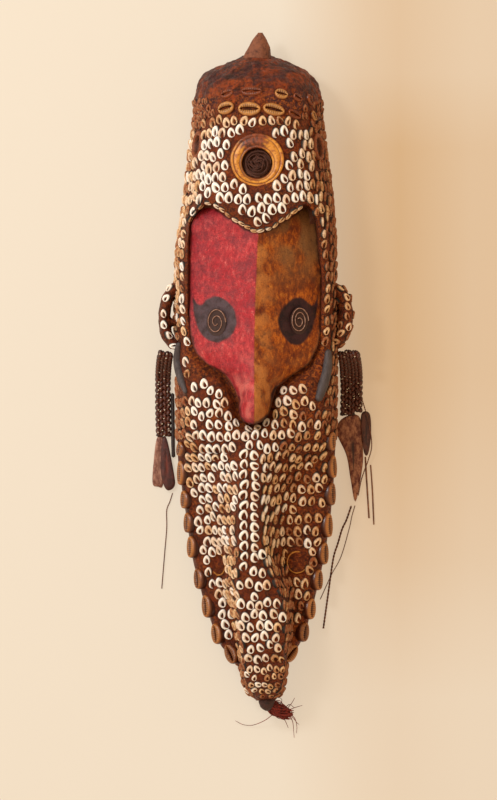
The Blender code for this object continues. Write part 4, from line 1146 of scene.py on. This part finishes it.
def rim_shells(shells):
    """The row of shells on edge along the rim of the forehead lobe."""
    rim = smooth_line(FACE_EDGE[29:] + FACE_EDGE[:2], 400)
    stops = np.linspace(0, 399, int(length_of(rim) / 6.6)).astype(int)
    for k in stops:
        x, y = rim[k]
        tangent = rim[min(k + 3, 399)] - rim[max(k - 3, 0)]
        tangent /= np.linalg.norm(tangent)
        outward = np.array([-tangent[1], tangent[0]])
        outward *= np.sign(edge_distance(FACE_EDGE, *(np.array([v]) for v in (x, y) + 3 * outward))[0])
        i, j = shells.near(x + outward[0] * 2.2, y + outward[1] * 2.2)
        facing = np.array([-outward[0], -outward[1], 0.32])
        facing = facing / np.linalg.norm(facing)
        heading = np.array([tangent[0], tangent[1], 0])
        place = shells.grid[i, j] - [0, 0, 0.8]
        shells.add(place, facing, heading, RIM_SHELL, 0.6, 0.7, "crown", form=2, solid=False)


def cheek_shells(shells):
    """Two columns of shells on each side of the face."""
    for side, area, offsets in ((-1, "left", (5.2, 11.5)), (1, "right", (5.4, 11.5))):
        for column, offset in enumerate(offsets):
            y = 150.0 - 5 * column
            while y > 26:
                left, right = curve(FACE, y)[:2]
                x = (left - offset) if side < 0 else (right + offset)
                limit = curve(BODY, y)[0 if side < 0 else 1]
                x = max(x, limit + 1.2) if side < 0 else min(x, limit - 1.2)
                i, j = shells.near(x, y)
                heading = (side * 0.25, 1, 0)
                shells.add(shells.grid[i, j], shells.normal[i, j], heading, CHEEK_SHELL, 0.78, 0.88, area)
                y -= 10.0


def crest_shells(shells):
    """Two columns of clean shells along the crest of the ridge."""
    for x0, y, turn, form in ((-11.2, -72, 0.5, 3), (-1.6, -74, -0.35, 2)):
        while y > -176:
            i, j = shells.near(x0 + 0.4 * math.sin(y / 9), y)
            shells.add(
                shells.grid[i, j], shells.normal[i, j], (turn, 1, 0), CREST_SHELL, 0.85, 0.84, "beard",
                stain=0.0, turn=0.16, form=form,
            )
            y -= 9.4


def field_shells(shells, rooms):
    """All the other shells, row by row: a first lattice, then a finer pass that fills its gaps."""
    grid, normal, away = shells.grid, shells.normal, shells.away
    for filling in (False, True):
        y = SHELLS_TOP
        count = 0
        while y > SHELLS_END:
            i = int(np.abs(grid[:, MIDDLE, 1] - y).argmin())
            size = shell_size(y)
            row = grid[i]
            pitch = np.linalg.norm(row[MIDDLE + 1] - row[MIDDLE])
            wide = 1.9 if filling else size * 0.8
            start = 0.5 * wide * (count % 2)
            for side in (1, -1):
                run = start if side == 1 else start - wide
                while True:
                    j = int(MIDDLE + run / pitch)
                    run += wide * side
                    if j < 3 or j > SKIN_COLUMNS - 4:
                        break
                    sway = 2.2 * noise.noise(Vector((row[j, 0] / 17, y / 40, 2.0)))
                    sway += shells.chance.gauss(0, 0.7)
                    k = int(np.clip(i + sway, 2, SKIN_ROWS - 3))
                    place = grid[k, j]
                    near = 8.2 if place[1] > 120 and abs(place[0]) < 48 else 4.6
                    if place[2] < 8 or away[k, j] < near or bare(place[0], place[1]):
                        continue
                    if any(np.linalg.norm((place - centre) @ turn) < 1 for centre, turn in rooms):
                        continue
                    heading = (0.12 if place[0] < 0 else -0.12, 1, 0.0)
                    length = size * (0.9 + 0.1 * ease(abs(float(normal[k, j, 2])), 0.0, 0.5))
                    spacing = 0.87 if filling else 0.83
                    shells.add(place, normal[k, j], heading, length, 0.8, spacing, area_of(place))
            y -= 1.7 if filling else size * 0.94
            count += 1


# Rings of a cowrie from its foot up into its slit: scale along and across, height, teeth, dark (painted shade at the
# foot and in the slit), pale.
COWRIE_RINGS = [
    (0.96, 0.94, -0.7, 0, 1.0, 0), (1.0, 1.0, 0.1, 0, 0.8, 0), (0.985, 0.95, 0.42, 0, 0.35, 0.2),
    (0.95, 0.84, 0.68, 0, 0.0, 0.7), (0.9, 0.68, 0.88, 0.25, 0, 1.0), (0.86, 0.52, 0.97, 0.7, 0, 1.0),
    (0.84, 0.38, 0.95, 1, 0, 1.0), (0.82, 0.25, 0.86, 1, 0, 0.9), (0.81, 0.14, 0.7, 1, 0.2, 0.6),
    (0.8, 0.08, 0.45, 0.6, 0.95, 0), (0.79, 0.02, 0.2, 0, 1, 0),
]


def cowrie(name, place, length, width, high, wear, pale, material, split=0.0, painted_rim_shade=0.0):
    """A cowrie lying on its back, with the toothed slit up and painted shade round its rim, in its slit and between its
    teeth.
    """
    turn = circle(112)
    half, wide = length / 2, width / 2
    x0 = half * np.cos(turn) * (1 + 0.06 * np.cos(turn))
    y0 = wide * np.sin(turn)
    teeth = 0.5 + 0.5 * np.cos(2 * math.pi * x0 / 2.3)
    middle = 1 - ease(np.abs(x0) / half, 0.72, 0.92)
    points, dark, pales = [], [], []
    for along, across, up, comb, shade, light in COWRIE_RINGS:
        groove = comb * middle * (1 - teeth) ** 2
        bow = 0.05 * wide * np.cos(math.pi * x0 / length)
        across = across + split * max(0.0, 1 - across * 1.4) * (0.6 + 0.4 * teeth)
        points.append(np.column_stack([x0 * along, y0 * across + bow * (1 - across), high * up - 0.8 * groove]))
        # painted shade: the foot, the slit and the grooves between the teeth darken, and the rim more on the edge
        # cowries
        dark.append(np.clip(shade + painted_rim_shade * (1 - light) + 0.9 * groove, 0, 1))
        pales.append(pale * light + 0 * turn)
    rows = len(points)
    shape = np.vstack(points)
    faces = grid_faces(rows, 112, around=True)
    spots = placed(place, shape)
    obj = piece(
        name + "_shell", spots, faces, [material],
        {"dark": np.concatenate(dark), "pale": np.concatenate(pales), "wear": np.full(len(spots), wear)},
    )
    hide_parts(name)


def all_cowries(material):
    """The cowries on the brow and along the lower edge, and the room that each takes."""
    rooms = []

    def room(place, length, width):
        turn = np.array(place.to_3x3())
        shrink = np.diag([1 / (length / 2 + 3.4), 1 / (width / 2 + 2.6), 1 / 9])
        rooms.append((np.array(place.translation), turn @ shrink))

    for k, (x, y, turn, length, width, wear) in enumerate(BROW_COWRIES, 1):
        spot, normal = surface_at(x, y)
        along = Vector((math.cos(math.radians(turn)), math.sin(math.radians(turn)), 0))
        place = frame_of(spot + normal * (0.3 - 0.8 * (wear > 0.6)), normal, along)
        room(place, length, width)
        pale = 0.0 if wear > 0.6 else 0.62
        cowrie(f"brow_cowrie_{k}", place, length, width, 3.2, max(wear, 0.45), pale, material, 0.1)
    for side, table, word in ((-1, EDGE_LEFT, "left"), (1, EDGE_RIGHT, "right")):
        for k, (y, tilt, length) in enumerate(table, 1):
            spot, normal, run = edge_at(y, side, tilt)
            place = frame_of(spot, normal, run)
            room(place, length, COWRIE_WIDTH)
            wear = (0.55 if side < 0 else 0.35) + 0.3 * math.sin(k * 2.4 + side)
            cowrie(f"edge_cowrie_{word}_{k}", place, length, COWRIE_WIDTH, 5.0, wear, 0.34, material, painted_rim_shade=0.55)
    return rooms


def ring_form(name, place, profile, around, material, values=None, wobble=0.0, drop=0.0):
    """A turned ring: profile of (radius, height), placed by a matrix; replaces the node of that name."""
    turn = circle(around)
    rows = []
    for k, (radius, high) in enumerate(profile):
        around_it = [Vector((math.cos(t) * 2.2, math.sin(t) * 2.2, k * 0.35)) for t in turn]
        shake = wobble * np.array([noise.noise(p) for p in around_it])
        reach = radius + shake
        low = drop * ease(-radius, -23, -15)
        rows.append(np.column_stack([reach * np.cos(turn), reach * np.sin(turn) - low, high + shake * 0.6]))
    shape = np.vstack(rows)
    spots = placed(place, shape)
    obj = piece(name + "_ring", spots, grid_faces(len(profile), around, around=True), [material], values)
    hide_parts(name)


def coil_form(
    name, place, turns, outer, inner, thick, low, high, stretch, material, wobble=0.3, dip=0.25,
):
    """A strip coiled on edge; replaces the node of that name."""
    steps = int(turns * 40)
    rows = []
    tone = []
    for k in range(steps + 1):
        t = k / steps
        angle = 2 * math.pi * turns * t
        radius = outer + (inner - outer) * t + wobble * noise.noise(Vector((angle * 0.7, outer, 0)))
        direction = np.array([math.cos(angle), stretch * math.sin(angle)])
        a, b = direction * (radius - thick / 2), direction * (radius + thick / 2)
        m = (a + b) / 2
        top = high - (high - low) * dip * t + 0.4 * noise.noise(Vector((angle * 0.9, 3, outer)))
        rows.append([(*b, low), (*b, top - 0.35), (*m, top), (*a, top - 0.35), (*a, low)])
        # painted shade: the strip is dark at its foot and down its sides, light along its top
        tone.append([1, 0.55, 0, 0.55, 1])
    shape = np.array(rows).reshape(-1, 3)
    spots = placed(place, shape)
    values = {"dark": np.array(tone).ravel()}
    obj = piece(name + "_strip", spots, grid_faces(steps + 1, 5), [material], values)
    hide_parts(name)


def forehead_disc(shell, strip):
    """The spiral shell disc on the forehead, with paste over its top, and the dark coil in it."""
    spot, _ = surface_at(DISC[0], DISC[1])
    place = frame_of(spot + Vector((0, 0, 0.6)), Vector((0, 0, 1)), Vector((1, 0, 0)))
    around = 120
    turn = circle(around)
    profile = [(24.4, -4), (24.6, -0.6), (24.2, 0.3), (23.2, 0.7), (22.2, 0.6), (21.6, 0.1), (20.9, 0.7), (19.6, 1.1),
               (18.2, 1.2), (16.9, 0.9), (16.1, 0.2), (15.6, 0.5), (14.9, 0.5), (14.2, 0.0), (13.9, -1.0), (13.8, -4.5)]
    bright = [0.2, 0.2, 0.5, 0.9, 0.6, 0.0, 0.7, 1.0, 1.0, 0.8, 0.0, 0.45, 0.5, 0.3, 0.1, 0.0]
    over = np.exp(-(((turn - math.pi * 0.56) / 0.72) ** 2))
    tone = np.array([
        [b + 0.2 * math.sin(t + r * 0.9) for t in turn] for b, (r, _) in zip(bright, profile, strict=True)
    ])
    cover = np.array([ease(over + 0.12 * math.sin(r * 2.0), 0.35, 0.6) for r, _ in profile])
    ring_form(
        "forehead_shell_disc", place, profile, around, shell,
        {"tone": np.clip(tone, 0, 1).ravel(), "cover": cover.ravel()}, wobble=0.35, drop=HOLE_DROP,
    )
    place = Matrix.Translation((0, -HOLE_DROP, 0)) @ place
    coil_form("forehead_coil", place, 3.3, 12.4, 2.5, 0.8, -4.2, 0.2, 1.0, strip, 0.9)
    made = []
    chance = random.Random(8)
    for k in range(16):
        start = chance.uniform(0, 6.28)
        line = [
            (r * math.cos(start + b), r * math.sin(start + b), -1.8 + 0.16 * k)
            for r, b in ((chance.uniform(5, 9.5), 0), (5, 0.7), (3, 1.3), (chance.uniform(0.5, 2), 2.2))
        ]
        made.append(tube_mesh(smooth_line(line, 14), 0.42, 5, side=(0, 0, 1)))
    points, faces = joined(made)
    points = points + np.array(place.translation)
    piece("forehead_swirl", points, faces, [strip], {"dark": np.full(len(points), 0.25)})


def temple_rings(ring, strip):
    """The rings at the temples, with a dark coil in each."""
    for name, (x, y) in TEMPLE_RINGS.items():
        spot, normal = surface_at(x, y)
        place = frame_of(spot, normal, Vector((0, 1, 0)))
        profile = [(12.8, -4), (13.2, -0.5), (12.9, 1.2), (11.9, 2.2), (10.7, 2.5), (9.6, 1.9), (8.8, 0.6), (8.5, -4)]
        # painted shade: the ring darkens towards its foot, where it sinks into the paste
        dark = np.repeat([1, 0.4, 0, 0, 0, 0, 0.4, 1], 64)
        ring_form(name, place, profile, 64, ring, {"dark": dark}, 0.7)
        made = []
        for k, radius in enumerate((7.3, 5.4, 3.3)):
            bend = np.linspace(0.4 * k, 5.9 + 0.4 * k, 30)
            line = np.column_stack([radius * np.cos(bend), radius * np.sin(bend), -2.5 - 0.5 * k + 0 * bend])
            made.append(tube_mesh(placed(place, line), 0.8, 6, side=tuple(normal)))
        points, faces = joined(made)
        piece(name + "_inside", points, faces, [strip], {"dark": np.full(len(points), 0.15)})


def snout_rings(shell):
    """The thin rings that are the animal's eyes."""
    for name, (x, y, lean) in SNOUT_RINGS.items():
        spot, _ = surface_at(x, y)
        normal = Vector((math.copysign(math.sin(lean), x), 0, math.cos(lean)))
        place = frame_of(spot, normal, Vector((0, 1, 0)))
        profile = [(10.5, -5), (10.5, 0.8), (10.3, 1.7), (9.9, 2.0), (9.5, 1.7), (9.3, 0.8), (9.2, -5)]
        tone = np.repeat([0.1, 0.2, 0.45, 0.6, 0.45, 0.2, 0.1], 72)
        ring_form(name, place, profile, 72, shell, {"tone": tone, "cover": tone * 0}, 0.3)


def eye_coils(eye, strip):
    """The coils of the eyes, each on a dark bed."""
    for name, (x, y, wide, tall, turns) in EYE_COILS.items():
        near, here, far = (float(face_height(np.array([x + step]), y)[0]) for step in (-3, 0, 3))
        place = frame_of(Vector((x, y, here)), Vector(((near - far) / 6, 0, 1)).normalized(), Vector((1, 0, 0)))
        coil_form(name, place, turns, wide, 1.6, 0.62, -2, 2.6, tall / wide, eye, 0.55, 0.1)
        turn = circle(48)
        rows = []
        for k in (1.0, 0.8, 0.6, 0.4, 0.2, 0.02):
            high = 0.75 + 0.5 * k + 0.1 * np.sin(5 * turn + 9 * k)
            rows.append(np.column_stack([wide * k * np.cos(turn), tall * k * np.sin(turn), high]))
        spots = placed(place, np.vstack(rows))
        dark = np.full(len(spots), 0.75)
        piece(name + "_bed", spots, grid_faces(6, 48, around=True), [strip], {"dark": dark})


def tusks(material):
    for name, (path, widths) in TUSKS.items():
        spots = [surface_at(x * 0.985, y)[0] for x, y in path]
        line = smooth_line([(x, y, p.z + 0.9) for (x, y), p in zip(path, spots, strict=True)], 44)
        radius = np.interp(np.linspace(0, 1, 44), np.linspace(0, 1, 5), widths)
        radius = radius * (1.28 + 0.06 * lumps(line, 5, 6))
        radius[0] *= 0.6
        radius[-1] *= 0.55
        points, faces = tube_mesh(line, radius, 18, flat=0.9)
        obj = piece(name + "_crescent", points, faces, [material])
        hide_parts(name)


def ears(paste, shells):
    """The looped ears, with a lumpy skin, set with shells along the loop."""
    for name, side in (("ear_left", -1), ("ear_right", 1)):
        source = bpy.data.objects[name]
        obj = bpy.data.objects.new(name + "_skin", source.data.copy())
        bpy.context.scene.collection.objects.link(obj)
        remesh = obj.modifiers.new("even", "REMESH")
        remesh.mode = "VOXEL"
        remesh.voxel_size = 1.3 * MM
        mesh = bpy.data.meshes.new_from_object(obj.evaluated_get(bpy.context.evaluated_depsgraph_get()))
        obj.modifiers.clear()
        obj.data = mesh
        for vertex in mesh.vertices:
            p = vertex.co / MM
            vertex.co += vertex.normal * MM * (0.5 * noise.noise(p / 6) + 0.3 * noise.noise(p / 2.5))
        mesh.materials.clear()
        mesh.materials.append(paste)
        count = len(mesh.vertices)
        for key, number in (("dust", 0.3 + 0.25 * (side > 0)), ("red", 0.1), ("deep", 0.0)):
            mesh.attributes.new(key, "FLOAT", "POINT").data.foreach_set("value", np.full(count, number, np.float32))
        mesh.polygons.foreach_set("use_smooth", np.full(len(mesh.polygons), True))
        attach(obj, "root")
        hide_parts(name)
        spots = np.array([tuple(v.co) for v in mesh.vertices]) / MM
        normals = np.array([tuple(v.normal) for v in mesh.vertices])
        centre = np.array([72.0 * side, 53.0])
        angle = np.arctan2(spots[:, 1] - centre[1], (spots[:, 0] - centre[0]) * side)
        order = sorted(
            (k for k in range(count) if normals[k, 2] > (0.45 if side < 0 else 0.1) and abs(angle[k]) < 1.7),
            key=lambda k: (round(-normals[k, 2] * 2), round(angle[k] * 6), spots[k, 0]),
        )
        for k in order[::3]:
            tangent = np.array([-math.sin(angle[k]) * side * 0.8, math.cos(angle[k]), 0])
            spacing = 1.08 if side < 0 else 0.95
            shells.add(spots[k] - normals[k] * 0.2, normals[k], tangent, EAR_SHELL, 0.78, spacing, name)


def tuft(knob, red):
    """The dark knob at the tip with its bundle of red fibres and a few long strands."""
    line = smooth_line([(9.5, -299.5, 27), (10.5, -305, 24.5), (13.5, -308.5, 21.5)], 14)
    radius = 6.8 * np.sin(np.linspace(0.9, 2.75, 14)) + 0.6
    points, faces = tube_mesh(line, radius, 20)
    points = points + 0.7 * np.column_stack([lumps(points, 4, s) for s in (1, 2, 3)])
    made = [(points, faces)]
    chance = random.Random(3)
    for k in range(260):
        spin, out = chance.uniform(0, 6.28), chance.random() ** 0.5
        reach = chance.uniform(0.75, 1.2)
        centre = [(11, -304.5, 23), (17, -309.5, 18.5), (23.5, -312, 14.5), (29.5, -314.5, 10.5)]
        widths = [5.5, 8.4, 8.2, 6.4]
        strand = []
        for step, ((x, y, z), wide) in enumerate(zip(centre, widths, strict=True)):
            bend = spin + 0.35 * step
            go = 1 if step < 3 else reach
            strand.append((
                x * go + (1 - go) * 20 + wide * out * math.cos(bend) * 0.55 + chance.gauss(0, 0.9),
                y + wide * out * math.sin(bend) * 0.75 + chance.gauss(0, 0.9),
                max(1.0, z + wide * out * math.cos(bend) * 0.8),
            ))
        made.append(tube_mesh(smooth_line(strand, 9), chance.uniform(0.28, 0.5), 4))
    for path in LONG_FIBRES:
        made.append(tube_mesh(smooth_line(path, 22), np.linspace(0.42, 0.22, 22), 5))
    which = [np.full(len(f), 0 if k == 0 else 1) for k, (_, f) in enumerate(made)]
    points, faces = joined(made)
    values = {"dark": np.zeros(len(points))}
    obj = piece("red_tuft", points, faces, [knob, red], values, np.concatenate(which))
    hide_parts("chin_tuft")


def finial_skin(material):
    """The wooden stub on the crown, with a split side."""
    table = [
        (276, 1.4, 14, 14), (284, 1.4, 14.1, 14), (290.5, 1, 13.7, 12.7), (296, 1.6, 12.1, 11.6),
        (303, 3, 9.6, 9.6), (309, 3.3, 6.7, 6.6), (313, 3.8, 4.2, 4.1), (316, 4.1, 1.9, 1.9),
    ]
    rows, around = 70, 72
    grid = []
    for y in np.linspace(276, 316.3, rows):
        x, wide, deep = curve(table, y)
        turn = circle(around)
        notch = 1 - 0.16 * np.exp(-(((turn - 0.25) / 0.3) ** 2)) * ease(y, 288, 294) * (1 - ease(y, 299, 303))
        over = x + (wide + 0.3) * np.cos(turn) * notch
        grid.append(np.column_stack([over, np.full(around, y), 34 + (deep + 0.3) * np.sin(turn)]))
    points = np.array(grid)
    away = points - np.array([1.4, 0, 34]) * [1, 0, 1]
    away[..., 1] = 0
    away /= np.maximum(np.linalg.norm(away, axis=-1, keepdims=True), 1e-6)
    relief = 0.35 * lumps(points * [1, 0.35, 1], 3.5, 4) + 0.15 * lumps(points, 1.6, 5)
    points = points + away * relief[..., None]
    faces = grid_faces(rows, around, around=True) + [tuple(range((rows - 1) * around, rows * around))]
    piece("crown_stub", points.reshape(-1, 3), faces, [material])


def main():
    add_camera()
    add_lights()
    add_floor()
    fibre = plain_paint("dark_fibre", srgb(34, 14, 9), srgb(108, 50, 28), 1.6, 0.4, 0.42, dark=True)
    strap = plain_paint("dark_strap", srgb(26, 16, 14), srgb(52, 32, 26), 3, 0.2, 0.6)
    stick = plain_paint("stick", srgb(84, 46, 28), srgb(140, 88, 54), 2, 0.2, 0.8, (1, 0.2, 1))
    white = plain_paint("white_bead", srgb(236, 226, 206), srgb(206, 188, 160), 1, 0.05, 0.35)
    pods = {
        name: pod(name, pod_paint(label, *(srgb(*tone) for tone in tones)))
        for name, (label, *tones) in POD_TONES.items()
    }
    cords(fibre, strap, white, stick)
    paste, shell = paste_paint(), shell_paint()
    cone = cone_paint()
    strip = plain_paint("coil_strip_old", srgb(104, 52, 30), srgb(58, 28, 20), 1.6, 0.3, 0.7, dark=True)
    eye = plain_paint("eye_strip_old", srgb(206, 164, 142), srgb(130, 80, 62), 2.0, 0.2, 0.6, dark=True)
    grid, normal, away = paste_skin(paste)
    face_front(face_paint())
    forehead_disc(cone, strip)
    ring = plain_paint("ring_strip_old", srgb(158, 80, 28), srgb(92, 42, 20), 1.6, 0.3, 0.6, dark=True)
    temple_rings(ring, strip)
    snout_rings(cone)
    eye_coils(eye, strip)
    tusks(plain_paint("tusk_grey_old", srgb(50, 42, 44), srgb(78, 68, 68), 2.2, 0.2, 0.62, (1, 0.25, 1)))
    rooms = all_cowries(cowrie_paint())
    shells = Shells(grid, normal, away)
    for spot, _, _, inner, _ in RECESSES[1:]:
        rooms.append((np.array(spot), np.eye(3) / (inner + (6.2 if inner > 8.4 else 4.5))))
    rim_shells(shells)
    cheek_shells(shells)
    crest_shells(shells)
    field_shells(shells, rooms)
    ears(paste, shells)
    shells.build(shell)
    tuft(plain_paint("dark_knob", srgb(36, 20, 18), srgb(70, 34, 28), 3, 0.4, 0.7, dark=True),
         plain_paint("red_fibre_old", srgb(150, 46, 32), srgb(74, 24, 18), 2.5, 0.2, 0.85))
    wood = wood_paint()
    finial_skin(stub_paint())
    for obj in bpy.data.objects:
        if "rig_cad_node" in obj:
            obj.data.materials.clear()
            obj.data.materials.append(wood)


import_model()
main()
